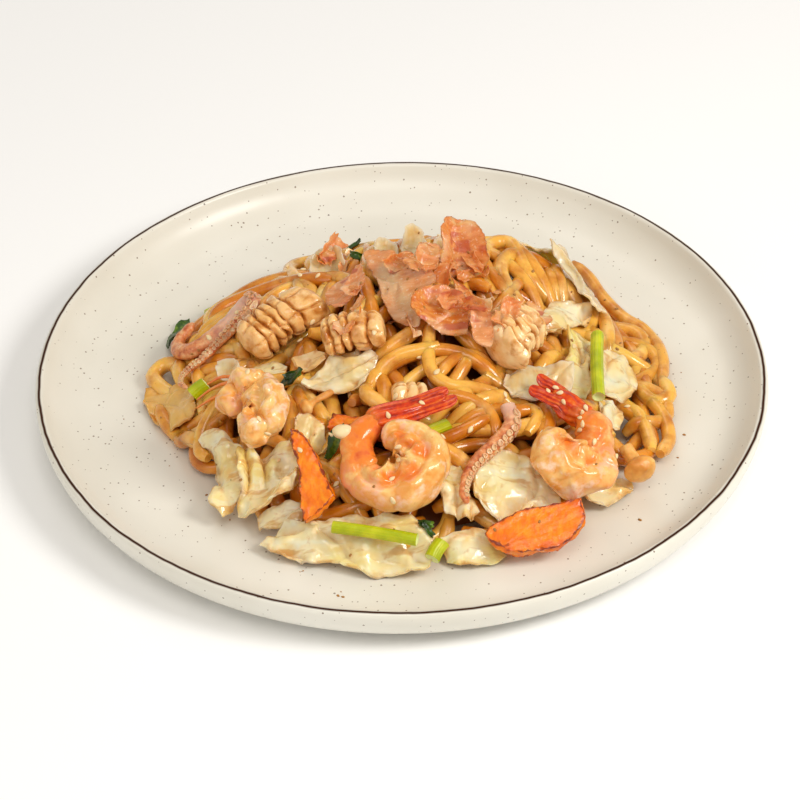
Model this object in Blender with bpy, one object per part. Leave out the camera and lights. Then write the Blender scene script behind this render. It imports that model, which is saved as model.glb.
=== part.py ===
"""Yaki udon on its plate: thick wheat noodles in a low heap, with prawns, scored squid, cabbage,
carrot, green stems, onion, mushroom and fish flakes on it, on a flat plate with an upright rim.

Every size and place here is in millimetres, and add_object turns them into metres. The plate stands
on z = 0 around the Z axis. +X is to the right and +Y to the back, as the dish is served.
"""

import math
import random

import bmesh
import bpy
import numpy as np
from mathutils import Matrix, Vector, noise
from mathutils.bvhtree import BVHTree

MM = 0.001
GAP = 0.3                 # clearance between pieces that touch

# Plate
PLATE_RADIUS = 140.0
PLATE_HEIGHT = 20.0
FLOOR_RADIUS = 118.0      # flat part of the inside
FLOOR = 7.0               # height of the eating surface
FOOT_RADIUS = 76.0
FOOT_WIDTH = 5.0
FOOT_HEIGHT = 2.2
PLATE_SEGMENTS = 52

# Heap
HEAP_X = 2.0
HEAP_Y = -9.0
CORE_RADIUS = 90.0
CORE_RISE = 28.0
CORE_POWER = 0.62         # below 1 makes a full shoulder
PEAKS = (                 # x, y, rise and spread of what stands over the mound
    (16.0, 32.0, 12.0, 25.0),
    (4.0, 8.0, 8.0, 15.0),
    (58.0, 52.0, 13.0, 15.0),
)
LUMP_HEIGHT = 1.6
LUMP_SIZE = 17.0
CORE_RINGS = 8
CORE_SEGMENTS = 26

# Noodles
NOODLE_RADIUS = 2.9
NOODLE_SIDES = 5
NOODLE_STEP = 6.4         # distance between two rings of a noodle
NOODLE_COUNT = 14         # noodles laid by rule, under the ones shaped by hand
NOODLE_LENGTH = 85.0
NOODLE_TRIES = 150        # draws from which each of them is picked
NOODLE_REACH = 87.0       # how far a noodle strays from the heap's middle
NOODLE_SINK = 0.8         # how far a noodle presses into what carries it
SEEDS = 14                # sesame seeds that lie on the noodles
SEED_LENGTH = 3.2
SEED_WIDTH = 2.0
NOODLE_TAIL = 9.0         # length of a noodle that hides under a topping
DIVE_SLOPE = 1.3          # steepest way down under a topping
ROOM_ABOVE = 4.2          # from a noodle's middle up to a topping, enough where it dives
ROOM_BESIDE = 4.0         # from a noodle's middle sideways to a topping
FLAT_ANGLE = 1.0          # faces closer than this to one plane become one
DRAW = 7                  # start of the random draws

# Relief maps, on a square grid over the plate
CELL = 1.0
REACH = 128.0
CELLS = int(2 * REACH / CELL) + 1
FAR_UP = 500.0


for existing in list(bpy.data.objects):
    bpy.data.objects.remove(existing, do_unlink=True)


# ---------------------------------------------------------------- materials

def material(name, colour, roughness):
    """A Principled material in one linear colour."""
    made = bpy.data.materials.new(name)
    made.use_nodes = True
    shader = made.node_tree.nodes["Principled BSDF"]
    shader.inputs["Base Color"].default_value = (*colour, 1.0)
    shader.inputs["Roughness"].default_value = roughness
    shader.inputs["Metallic"].default_value = 0.0
    return made


GLAZE = material("speckled_glaze", (0.80, 0.74, 0.65), 0.35)
NOODLE = material("sauced_noodle", (0.62, 0.36, 0.10), 0.35)
PRAWN = material("cooked_prawn", (0.86, 0.46, 0.25), 0.35)
SQUID = material("squid_flesh", (0.86, 0.68, 0.46), 0.4)
TENTACLE = material("squid_tentacle", (0.60, 0.26, 0.17), 0.4)
CABBAGE = material("cabbage_leaf", (0.82, 0.72, 0.44), 0.4)
CARROT = material("carrot_flesh", (0.80, 0.22, 0.02), 0.4)
STEM = material("green_stem", (0.32, 0.50, 0.03), 0.35)
DARK_LEAF = material("dark_green_leaf", (0.02, 0.06, 0.01), 0.4)
ONION = material("onion_flesh", (0.72, 0.50, 0.26), 0.3)
FLAKE = material("dried_fish_flake", (0.70, 0.32, 0.16), 0.6)
MUSHROOM = material("mushroom_flesh", (0.58, 0.33, 0.12), 0.45)


# ---------------------------------------------------------------- relief maps

def empty_map(value):
    return np.full((CELLS, CELLS), float(value))


def cell_of(value):
    return int(round((value + REACH) / CELL))


def cell_span(low, high):
    """The cell numbers that cover a stretch along X or Y."""
    return range(max(cell_of(low), 0), min(cell_of(high), CELLS - 1) + 1)


def spread(grid, radius, pick):
    """The highest (pick=np.maximum) or lowest value within a radius of every cell."""
    steps = int(math.ceil(radius / CELL))
    wide = grid.copy()
    for i in range(-steps, steps + 1):
        for j in range(-steps, steps + 1):
            if math.hypot(i, j) * CELL <= radius:
                wide = pick(wide, np.roll(grid, (i, j), (0, 1)))
    return wide


def smooth(grid, times):
    """Each cell averaged with its four neighbours."""
    for _ in range(times):
        grid = (2 * grid + np.roll(grid, 1, 0) + np.roll(grid, -1, 0)
                + np.roll(grid, 1, 1) + np.roll(grid, -1, 1)) / 6
    return grid


def sample(grid, x, y):
    """The map's height between its cells."""
    column = min(max((x + REACH) / CELL, 0), CELLS - 1.001)
    row = min(max((y + REACH) / CELL, 0), CELLS - 1.001)
    i = int(column)
    j = int(row)
    across = column - i
    along = row - j
    near = grid[i, j] * (1 - across) + grid[i + 1, j] * across
    far = grid[i, j + 1] * (1 - across) + grid[i + 1, j + 1] * across
    return near * (1 - along) + far * along


def heap_height(x, y):
    """Top of the bare core: a full mound with a peak at the back and noodle-sized lumps."""
    across = x - HEAP_X
    along = y - HEAP_Y
    inside = 1 - (across * across + along * along) / CORE_RADIUS ** 2
    if inside <= 0:
        return FLOOR
    mound = CORE_RISE * inside ** CORE_POWER
    peak = sum(rise * math.exp(-((x - peak_x) ** 2 + (y - peak_y) ** 2) / (2 * reach ** 2))
               for peak_x, peak_y, rise, reach in PEAKS)
    lumps = LUMP_HEIGHT * noise.noise(Vector((x, y, 0)) / LUMP_SIZE) * 2
    return FLOOR + mound + (peak + lumps) * min(1, inside * 4)


top_map = empty_map(FLOOR)          # highest surface so far
under_map = empty_map(FAR_UP)       # lowest underside of any topping
for i in range(CELLS):
    for j in range(CELLS):
        top_map[i, j] = heap_height(i * CELL - REACH, j * CELL - REACH)
core_map = top_map.copy()


# ---------------------------------------------------------------- shared modelling

def add_object(name, bm, finish):
    """Closes the modelling of one sub-part and puts it in the scene, in metres."""
    bmesh.ops.triangulate(bm, faces=bm.faces)
    bmesh.ops.recalc_face_normals(bm, faces=bm.faces)
    bm.transform(Matrix.Scale(MM, 4))
    mesh = bpy.data.meshes.new(name)
    bm.to_mesh(mesh)
    bm.free()
    mesh.shade_smooth()
    mesh.set_sharp_from_angle(angle=math.radians(50))
    mesh.materials.append(finish)
    made = bpy.data.objects.new(name, mesh)
    bpy.context.collection.objects.link(made)
    return made


def curve_through(points, step, closed=False):
    """Evenly spaced points on a smooth curve through the given ones."""
    points = [Vector(p) for p in points]
    count = len(points)
    dense = []
    for k in range(count if closed else count - 1):
        if closed:
            before, start, end, after = (points[(k + n - 1) % count] for n in range(4))
        else:
            start, end = points[k], points[k + 1]
            before = points[k - 1] if k > 0 else start * 2 - end
            after = points[k + 2] if k + 2 < count else end * 2 - start
        for n in range(16):
            t = n / 16
            dense.append(0.5 * (start * 2 + (end - before) * t
                                + (before * 2 - start * 5 + end * 4 - after) * t ** 2
                                + (start * 3 - before - end * 3 + after) * t ** 3))
    dense.append(points[0] if closed else points[-1])
    lengths = [0.0]
    for here, there in zip(dense, dense[1:]):
        lengths.append(lengths[-1] + (there - here).length)
    parts = max(2, round(lengths[-1] / step))
    even = []
    k = 0
    for n in range(parts if closed else parts + 1):
        wanted = lengths[-1] * n / parts
        while k < len(dense) - 2 and lengths[k + 1] < wanted:
            k += 1
        share = (wanted - lengths[k]) / max(lengths[k + 1] - lengths[k], 1e-9)
        even.append(dense[k].lerp(dense[k + 1], min(share, 1)))
    return even


def sweep(bm, path, widths, heights, sides, up=Vector((0, 0, 1)), twist=0.0):
    """A closed tube along a path: rings of half-width and half-height, and a face on each end."""
    rings = []
    for k, centre in enumerate(path):
        ahead = path[min(k + 1, len(path) - 1)] - path[max(k - 1, 0)]
        ahead.normalize()
        side = ahead.cross(up).normalized()
        over = side.cross(ahead)
        ring = []
        for n in range(sides):
            angle = 2 * math.pi * (n + 0.5) / sides + twist
            offset = side * math.cos(angle) * widths[k] + over * math.sin(angle) * heights[k]
            ring.append(bm.verts.new(centre + offset))
        rings.append(ring)
    for lower, upper in zip(rings, rings[1:]):
        for n in range(sides):
            m = (n + 1) % sides
            bm.faces.new((lower[n], lower[m], upper[m], upper[n]))
    bm.faces.new(list(reversed(rings[0])))
    bm.faces.new(rings[-1])


def note_on_maps(bm):
    """Marks a placed topping on the maps, from above and from below."""
    tree = BVHTree.FromBMesh(bm)
    xs = [v.co.x for v in bm.verts]
    ys = [v.co.y for v in bm.verts]
    for i in cell_span(min(xs), max(xs)):
        for j in cell_span(min(ys), max(ys)):
            x = i * CELL - REACH
            y = j * CELL - REACH
            hit = tree.ray_cast(Vector((x, y, FAR_UP)), Vector((0, 0, -1)))[0]
            if hit is None:
                continue
            top_map[i, j] = max(top_map[i, j], hit.z)
            below = tree.ray_cast(Vector((x, y, -FAR_UP)), Vector((0, 0, 1)))[0]
            under_map[i, j] = min(under_map[i, j], below.z)


def lower(bm, lift=GAP):
    """Lowers a piece straight down onto what lies there, leaving a clearance."""
    ground = spread(top_map, 1.5, np.maximum)
    tree = BVHTree.FromBMesh(bm)
    xs = [v.co.x for v in bm.verts]
    ys = [v.co.y for v in bm.verts]
    need = -FAR_UP
    for i in cell_span(min(xs), max(xs)):
        for j in cell_span(min(ys), max(ys)):
            start = Vector((i * CELL - REACH, j * CELL - REACH, -FAR_UP))
            below = tree.ray_cast(start, Vector((0, 0, 1)))[0]
            if below is not None:
                need = max(need, ground[i, j] - below.z)
    bm.transform(Matrix.Translation((0, 0, need + lift)))
    note_on_maps(bm)


def lean(x, y):
    """The turn that lays a level piece along the heap's slope at a place."""
    reach = 7.0
    rise_x = (heap_height(x + reach, y) - heap_height(x - reach, y)) / (2 * reach)
    rise_y = (heap_height(x, y + reach) - heap_height(x, y - reach)) / (2 * reach)
    upright = Vector((0, 0, 1))
    return upright.rotation_difference(Vector((-rise_x, -rise_y, 1))).to_matrix().to_4x4()


def settle(bm, x, y, turn=0.0, pitch=0.0, roll=0.0):
    """Turns a piece, lays it along the slope at its place and lowers it. pitch lifts its far side."""
    turned = (Matrix.Rotation(math.radians(turn), 4, "Z") @ Matrix.Rotation(math.radians(pitch), 4, "X")
              @ Matrix.Rotation(math.radians(roll), 4, "Y"))
    bm.transform(Matrix.Translation((x, y, 0)) @ lean(x, y) @ turned)
    lower(bm)


# ---------------------------------------------------------------- plate

def plate():
    """A turned plate: foot ring, rounded wall, narrow rim, cove and flat floor."""
    wall = PLATE_RADIUS - FLOOR_RADIUS
    profile = [(0, FOOT_HEIGHT),
               (FOOT_RADIUS - FOOT_WIDTH - 1.5, FOOT_HEIGHT),
               (FOOT_RADIUS - FOOT_WIDTH, 0),
               (FOOT_RADIUS, 0),
               (FOOT_RADIUS + 1.5, FOOT_HEIGHT)]
    corner = PLATE_HEIGHT - FOOT_HEIGHT - 2
    for k in range(5):
        angle = math.radians(90 * k / 4)
        profile.append((PLATE_RADIUS - corner + corner * math.sin(angle),
                        FOOT_HEIGHT + corner * (1 - math.cos(angle))))
    profile.append((PLATE_RADIUS - 0.8, PLATE_HEIGHT))
    for k in range(5):
        angle = math.radians(90 * k / 4)
        profile.append((FLOOR_RADIUS + (wall - 3.2) * math.cos(angle),
                        FLOOR + (PLATE_HEIGHT - 0.5 - FLOOR) * (1 - math.sin(angle))))
    profile.append((0, FLOOR))
    bm = bmesh.new()
    verts = [bm.verts.new((r, 0, z)) for r, z in profile]
    edges = [bm.edges.new(pair) for pair in zip(verts, verts[1:])]
    bmesh.ops.spin(bm, geom=verts + edges, cent=(0, 0, 0), axis=(0, 0, 1),
                   angle=2 * math.pi, steps=PLATE_SEGMENTS, use_merge=True)
    bmesh.ops.remove_doubles(bm, verts=bm.verts, dist=0.01)
    add_object("plate", bm, GLAZE)


# ---------------------------------------------------------------- thin pieces

def disc(corners, edge_points, rings):
    """A flat, triangulated patch with a smooth outline through its corners, and its centre."""
    outline = curve_through([(x, y, 0) for x, y in corners], 1.0, closed=True)
    centre = sum(outline, Vector()) / len(outline)
    edge = [outline[round(n * len(outline) / edge_points) % len(outline)] for n in range(edge_points)]
    bm = bmesh.new()
    middle = bm.verts.new((0, 0, 0))
    inner = None
    for k in range(1, rings + 1):
        ring = [bm.verts.new((point - centre) * (k / rings) ** 0.8) for point in edge]
        for n in range(edge_points):
            m = (n + 1) % edge_points
            if inner is None:
                bm.faces.new((middle, ring[n], ring[m]))
            else:
                bm.faces.new((inner[n], ring[n], ring[m], inner[m]))
        inner = ring
    bmesh.ops.triangulate(bm, faces=bm.faces)
    return bm, centre


def thicken(bm, thickness):
    """Turns an open patch into a thin solid whose two faces have the same triangles."""
    bmesh.ops.recalc_face_normals(bm, faces=bm.faces)
    bm.normal_update()
    if sum(face.normal.z for face in bm.faces) < 0:
        bmesh.ops.reverse_faces(bm, faces=bm.faces)
        bm.normal_update()
    offsets = [vert.normal * thickness for vert in bm.verts]
    lower = list(bm.verts)
    made = bmesh.ops.extrude_face_region(bm, geom=list(bm.faces), use_keep_orig=True)["geom"]
    upper = [item for item in made if isinstance(item, bmesh.types.BMVert)]
    for low, offset in zip(lower, offsets):
        twin = min(upper, key=lambda vert: (vert.co - low.co).length_squared)
        twin.co = low.co + offset
        upper.remove(twin)
    bmesh.ops.recalc_face_normals(bm, faces=bm.faces)


def wave(x, y, height, length, seed):
    """The height of a soft irregular wave."""
    return height * 1.6 * noise.noise(Vector((x / length, y / length, seed * 7.3)))


def leaf(name, corners, finish=CABBAGE, thickness=1.1, lift=1.6, ruffle=1.6, curl=0.0,
         edge_points=12, rings=2, seed=1):
    """A thin wavy piece laid over what is under it. curl lifts its edge."""
    ground = smooth(spread(top_map, 2.0, np.maximum), 4)
    bm, centre = disc(corners, edge_points, rings)
    reach = max(vert.co.length for vert in bm.verts)
    for vert in bm.verts:
        x = vert.co.x + centre.x
        y = vert.co.y + centre.y
        out = vert.co.length / reach
        vert.co.z = sample(ground, x, y) + wave(x, y, ruffle, 11.0, seed) + curl * out ** 2
    thicken(bm, thickness)
    bm.transform(Matrix.Translation((centre.x, centre.y, 0)))
    lower(bm, lift)
    add_object(name, bm, finish)


def flake(name, corners, bend, place, thickness=0.45, ruffle=1.2, finish=FLAKE,
          edge_points=12, rings=2, seed=1):
    """A dried flake: a patch with a soft wave, bent round the Y axis by the given radius."""
    bm, _ = disc(corners, edge_points, rings)
    for vert in bm.verts:
        x, y, _ = vert.co
        height = wave(x, y, ruffle, 9.0, seed)
        angle = x / bend
        vert.co.x = (bend - height) * math.sin(angle)
        vert.co.z = bend - (bend - height) * math.cos(angle)
    thicken(bm, thickness)
    settle(bm, *place)
    add_object(name, bm, finish)


def slab(name, corners, thickness, place, finish=CARROT, edge_points=10):
    """A flat cut slice with an even thickness."""
    bm, _ = disc(corners, edge_points, 1)
    thicken(bm, thickness)
    settle(bm, *place)
    add_object(name, bm, finish)


# ---------------------------------------------------------------- cabbage

def cabbage():
    leaf("cabbage_front",
         [(-54, -92), (-46, -86), (-34, -88), (-12, -88), (8, -89), (10, -100), (8, -108),
          (-4, -108), (-21, -103), (-40, -98)], ruffle=2.2, edge_points=18, rings=3, seed=1)
    leaf("cabbage_front_right", [(13, -94), (25, -91), (36, -92), (34, -99), (24, -103), (15, -101)],
         ruffle=1.0, lift=0.8, edge_points=9, seed=2)
    leaf("cabbage_left_lower", [(-53, -77), (-44, -76), (-35, -79), (-35, -86), (-50, -84)],
         ruffle=1.2, lift=1.0, edge_points=9, seed=3)
    leaf("cabbage_far_left",
         [(-75, -44), (-68, -44), (-60, -53), (-57, -63), (-60, -73), (-66, -78), (-71, -70),
          (-67, -58)],
         ruffle=3.4, curl=2.0, edge_points=14, seed=4)
    leaf("cabbage_left",
         [(-62, -61), (-51, -58), (-42, -57), (-38, -69), (-40, -81), (-50, -84), (-59, -77)],
         ruffle=4.2, curl=2.0, edge_points=15, rings=3, seed=5)
    leaf("cabbage_left_fold", [(-40, -50), (-36, -46), (-28, -51), (-26, -61), (-34, -62), (-41, -58)],
         ruffle=3.2, lift=1.6, edge_points=11, seed=6)
    leaf("cabbage_middle", [(-38, -32), (-31, -22), (-22, -16), (-9, -20), (-10, -29), (-23, -37)],
         ruffle=3.0, curl=1.5, lift=2.4, edge_points=13, rings=3, seed=7)
    leaf("cabbage_fold", [(14, -70), (20, -71), (24, -81), (28, -93), (22, -95), (15, -91), (12, -81)],
         ruffle=3.0, lift=2.0, edge_points=12, seed=8)
    leaf("cabbage_right",
         [(28, -64), (37, -63), (47, -64), (54, -71), (58, -78), (47, -83), (31, -89), (26, -84)],
         ruffle=3.0, curl=1.0, lift=2.0, edge_points=15, rings=3, seed=9)
    leaf("cabbage_under_right", [(64, -66), (76, -58), (88, -56), (84, -66), (72, -72)],
         ruffle=1.6, lift=0.8, edge_points=10, seed=10)
    leaf("cabbage_right_edge", [(74, 0), (82, 5), (89, -1), (88, -17), (81, -24), (74, -19)],
         ruffle=1.4, edge_points=12, seed=11)
    leaf("cabbage_right_white", [(74, -27), (80, -25), (83, -31), (80, -38), (75, -37)],
         ruffle=1.4, lift=2.0, edge_points=9, seed=12)
    leaf("cabbage_wavy", [(54, 6), (57, 17), (65, 25), (74, 27), (74, 19), (65, 11), (60, -2)],
         ruffle=3.0, lift=2.2, curl=1.5, edge_points=13, seed=13)
    leaf("cabbage_clear", [(63, 2), (70, 8), (76, 8), (73, -10), (70, -28), (62, -29), (60, -14)],
         ruffle=1.2, edge_points=12, seed=14)
    leaf("cabbage_back", [(44, 52), (47, 62), (55, 67), (64, 64), (70, 58), (64, 50), (54, 46)],
         ruffle=2.6, curl=2.5, lift=3.0, edge_points=12, seed=15)
    leaf("cabbage_edge", [(75, 65), (81, 55), (85, 42), (80, 42), (75, 54)],
         ruffle=1.0, lift=0.8, edge_points=9, seed=16)
    leaf("cabbage_strip", [(-61, -13), (-50, -11), (-42, -15), (-43, -20), (-52, -18), (-60, -19)],
         ruffle=1.0, lift=2.0, edge_points=10, rings=1, seed=17)
    leaf("cabbage_far_edge", [(-100, 2), (-90, 0), (-80, -8), (-79, -26), (-86, -29), (-92, -22)],
         ruffle=1.2, lift=0.8, edge_points=12, seed=18)


# ---------------------------------------------------------------- onion and other thin toppings

def onion():
    leaf("onion_square", [(-71, -4), (-62, -8), (-61, -21), (-70, -18)], ONION,
         ruffle=0.8, lift=2.0, edge_points=8, rings=1, seed=21)
    leaf("onion_clear",
         [(37, -30), (44, -22), (56, -20), (65, -19), (63, -31), (50, -37), (41, -38)], ONION,
         ruffle=1.4, lift=1.8, edge_points=12, seed=22)
    flake("onion_ring", [(-8, -6), (-7, 5), (0, 8), (8, 4), (7, -5), (0, -8)],
          9.0, (-27, 48, 10, 38, 0), thickness=0.9, finish=ONION, seed=24)
    flake("onion_back", [(-5, -6), (-4, 6), (4, 6), (5, -6)], 14.0, (-5, 47, 0, 46, 0),
          thickness=0.9, finish=ONION, edge_points=8, rings=1, seed=25)
    flake("onion_top", [(-5, -7), (-4, 7), (2, 8), (5, 3), (5, -7)], 14.0, (6, 46, 0, 48, 0),
          thickness=0.9, finish=ONION, edge_points=10, seed=26)
    leaf("onion_band",
         [(58, 46), (64, 50), (72, 43), (77, 31), (78, 20), (72, 22), (67, 32), (60, 41)], ONION,
         ruffle=0.8, lift=1.8, edge_points=12, rings=1, seed=27)


def greens():
    leaf("dark_leaf_front", [(-29, -67), (-25, -57), (-20, -53), (-22, -60)], DARK_LEAF,
         ruffle=1.0, lift=2.4, edge_points=8, rings=1, seed=31)
    leaf("dark_leaf_left", [(-45, -27), (-39, -26), (-36, -32), (-41, -33)], DARK_LEAF,
         ruffle=1.0, lift=2.2, edge_points=8, rings=1, seed=32)
    leaf("green_leaf_edge", [(-91, 22), (-86, 30), (-83, 46), (-87, 47), (-92, 33)], DARK_LEAF,
         ruffle=1.0, lift=1.2, edge_points=8, rings=1, seed=33)


def stem(name, start, end, radius, bend, rise=0.0):
    """A short piece of a round green stem, lying between two points of the plan."""
    start = Vector((*start, 0))
    end = Vector((*end, 0))
    middle = (start + end) / 2
    half = (end - start).length / 2
    heading = math.degrees(math.atan2(end.y - start.y, end.x - start.x))
    path = [Vector((half * t, bend * (1 - t * t), 0)) for t in (-1, -0.33, 0.33, 1)]
    bm = bmesh.new()
    sweep(bm, path, [radius] * 4, [radius * 0.85] * 4, 7)
    settle(bm, middle.x, middle.y, turn=heading, roll=-rise)
    add_object(name, bm, STEM)


def stems():
    stem("stem_front", (-25.5, -94), (4.5, -102), 2.7, 0.6)
    stem("stem_right", (74.5, 1), (73.5, -34), 2.5, 0.8)
    stem("stem_middle", (-1.5, -61), (17.5, -50), 1.8, 0.6)
    stem("stem_front_stub", (10, -105), (14, -98), 2.8, 0.2)
    stem("stem_left_stub", (-80, -18), (-73, -15), 2.6, 0.2)
    stem("stem_back_stub", (-77, 50), (-70, 54), 2.4, 0.2)


def carrots():
    slab("carrot_left", [(-5, 18), (1, 16), (5, 2), (10, -11), (3, -17), (-3, -18), (-3, 0)], 4.5,
         (-33, -76.5, 2, 5))
    slab("carrot_right",
         [(-19, 0), (-8, 6), (8, 8), (19, 10), (19, 1), (12, -7), (-2, -10), (-15, -8)], 4.0,
         (48.5, -92.5, 4, 22))
    slab("carrot_middle", [(-8, 4), (8, -2), (-8, -3)], 3.0, (-20, -48), edge_points=6)


# ---------------------------------------------------------------- mushrooms

def mushroom(name, cap_radius, stalk, place):
    """A small brown mushroom: a round cap and a tapering stalk, turned as one piece."""
    outline = [(0, 0.0), (0.62, 0.08), (0.95, 0.4), (0.92, 0.75), (0.45, 1.0), (0.4, 1.3)]
    path = [Vector((0, z * cap_radius, 0)) for _, z in outline]
    path.append(Vector((0, cap_radius * 1.3 + stalk, 0)))
    sizes = [max(r, 0.3) * cap_radius for r, _ in outline] + [0.42 * cap_radius]
    bm = bmesh.new()
    sweep(bm, path, sizes, [0.9 * size for size in sizes], 9)
    settle(bm, *place)
    add_object(name, bm, MUSHROOM)


def mushrooms():
    mushroom("mushroom_right", 7.2, 7, (89, -63, 24, 8))
    mushroom("mushroom_left", 3.6, 9, (-37, -44, -60))


# ---------------------------------------------------------------- prawns

def prawn(name, spine, sizes, tail_sizes, place, segments=5, sides=7):
    """A cooked prawn: a fat ringed body along its curled spine, and a flat tail at its end.

    spine runs from the thick end to the tail's tip, in the piece's own plane. sizes are the body's
    radii at the thick end, the middle and the tail's root, and tail_sizes the tail's half-width
    and half-height at its tip.
    """
    path = curve_through(spine, 4.4)
    marks = [0, 0.06, 0.3, 0.62, 0.74, 1]
    wide = [sizes[0] * 0.55, sizes[0], sizes[1], sizes[2], tail_sizes[0] * 0.8, tail_sizes[0]]
    high = [sizes[0] * 0.55, sizes[0], sizes[1], sizes[2], tail_sizes[1] * 1.5, tail_sizes[1]]
    widths = []
    heights = []
    for k in range(len(path)):
        s = k / (len(path) - 1)
        ring = 1 + 0.07 * math.cos(2 * math.pi * segments * s / 0.62) if s < 0.62 else 1
        widths.append(np.interp(s, marks, wide) * ring)
        heights.append(np.interp(s, marks, high) * ring)
    bm = bmesh.new()
    sweep(bm, path, widths, heights, sides)
    settle(bm, *place)
    add_object(name, bm, PRAWN)


def prawns():
    prawn("prawn_centre",
          [(-3, 6, 0), (3, 9.5, 0), (11, 2, 0), (9, -7, 0), (-2, -11, 0), (-11, -5, 0), (-13, 6, 0),
           (-7, 17, -2), (5, 21, -3), (18, 26, -5), (23, 28, -5)],
          (6.2, 6.8, 6.0), (4.6, 1.8), (-4, -78.5, 0, -3))
    prawn("prawn_left",
          [(-7, -7, 1), (-1, -11, 0), (6, -7, 0), (8, 2, 0), (4, 10, 0), (-4, 9, 0), (-8, 2, -1)],
          (8.0, 9.2, 7.8), (4.0, 2.6), (-57.5, -48, 16))
    prawn("prawn_right",
          [(-3, 2, 1), (-7, -4, 0), (-2, -11, 0), (7, -9, 0), (9, -1, 0), (6, 8, 0.5),
           (0, 16, -3), (-10, 23, -6), (-15, 26, -7)],
          (8.0, 9.0, 7.0), (5.0, 1.8), (62.5, -63, 0, 0, -8))


# ---------------------------------------------------------------- squid

def squid_roll(name, length, radius, ridges, place, bend=4.0, taper=0.8):
    """A scored piece of squid that has rolled up: deep grooves across a fat, slightly bent roll."""
    rings = 2 * ridges + 1
    path = []
    sizes = []
    for k in range(rings):
        s = k / (rings - 1)
        path.append(Vector(((s - 0.5) * length, bend * (1 - (2 * s - 1) ** 2), 0)))
        middle = math.sin(math.pi * min(max(s, 0.1), 0.9))
        full = radius * (1 - (1 - taper) * s) * (0.55 + 0.45 * middle)
        sizes.append(full * (1.0 if k % 2 else 0.78) * (1.15 if 0 < k < rings - 1 else 0.75))
    bm = bmesh.new()
    sweep(bm, path, sizes, [0.85 * size for size in sizes], 8)
    settle(bm, *place)
    add_object(name, bm, SQUID)


def tentacle(name, points, thick, thin, place):
    """A squid's arm: a thin, waving, tapered tube."""
    path = curve_through(points, 5.0)
    sizes = [thick + (thin - thick) * k / (len(path) - 1) for k in range(len(path))]
    bm = bmesh.new()
    sweep(bm, path, sizes, [0.8 * size for size in sizes], 6)
    settle(bm, *place)
    add_object(name, bm, TENTACLE)


def squid():
    leaf("squid_flap", [(-42, -17), (-36, -13), (-31, -14), (-27, -18), (-33, -22)], SQUID,
         thickness=1.8, ruffle=1.2, lift=1.0, edge_points=9, rings=1, seed=41)
    tentacle("tentacle_left",
             [(-3, 14, 1), (-10, 8, 0), (-9, 0, 0), (-2, -5, 0), (8, -3, 0), (17, 2, 1), (25, 6, 3),
              (28, 1, 3), (20, -3, 1), (12, -8, 0), (4, -15, 0), (-4, -19, 0), (-6, -25, 0),
              (-2, -32, 0)],
             3.0, 1.2, (-78, 14, 0, 0, 8))
    squid_roll("squid_left", 37, 10.6, 5, (-43, 3, 33))
    squid_roll("squid_middle", 25, 8.8, 4, (-17.5, -19, 2))
    squid_roll("squid_right", 25, 11.5, 4, (46.5, -16, 60))
    squid_roll("squid_small", 14, 6.0, 3, (3, -41, 5), bend=1.0)
    tentacle("tentacle_right",
             [(13, 21, 1), (15, 13, 0), (10, 5, 0), (3, -3, 0), (-2, -11, 0), (-4, -20, 0),
              (-2, -24, 0)],
             2.8, 1.4, (26, -67))


# ---------------------------------------------------------------- fish flakes

def flakes():
    flake("flake_large",
          [(-14, 25), (-5, 24), (4, 13), (14, 7), (15, -3), (7, -20), (-1, -18), (-6, -4)],
          40.0, (0, 11, 0, 4, 0), edge_points=16, rings=3, ruffle=2.4, seed=51)
    flake("flake_front", [(-12, -2), (-4, 8), (8, 8), (12, -2), (11, -10), (-2, -9)],
          24.0, (15, -9, 0, 4, 0), edge_points=13, rings=3, ruffle=1.8, seed=52)
    flake("flake_right", [(-11, 8), (-3, 7), (6, 2), (12, -9), (3, -10), (-6, -2)],
          20.0, (27, 7, 0, 5, 6), edge_points=13, ruffle=1.6, seed=53)
    flake("flake_small_right", [(-4, 8), (3, 8), (5, -3), (3, -9), (-3, -7)],
          12.0, (30, -18, 0, 12, 0), edge_points=9, seed=54)
    flake("flake_top", [(-10, 8), (0, 12), (10, 8), (11, -5), (2, -11), (-9, -8)],
          12.0, (23, 32, 16, 48, 0), edge_points=13, rings=3, ruffle=2.0, seed=55)
    flake("flake_middle", [(-5, 5), (3, 7), (6, -2), (-2, -7)],
          10.0, (11, 14, 0, 20, 0), edge_points=8, seed=56)
    flake("flake_left", [(-9, 3), (-2, 10), (8, 9), (3, -2), (-4, -9)],
          14.0, (-21, 10, 0, 4, 0), edge_points=10, seed=57)
    flake("flake_left_front", [(-6, -6), (2, 9), (6, 3), (5, -7), (-1, -9)],
          14.0, (-17, 7, 0, 0, 0), edge_points=10, seed=58)
    flake("flake_outer", [(-5, 4), (4, 5), (6, -3), (-3, -5)],
          12.0, (42, 5), edge_points=8, rings=1, seed=59)
    flake("flake_far", [(-5, 6), (4, 4), (5, -2), (-5, -6)],
          12.0, (51, 9), edge_points=8, rings=1, seed=60)


# ---------------------------------------------------------------- noodles

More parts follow.
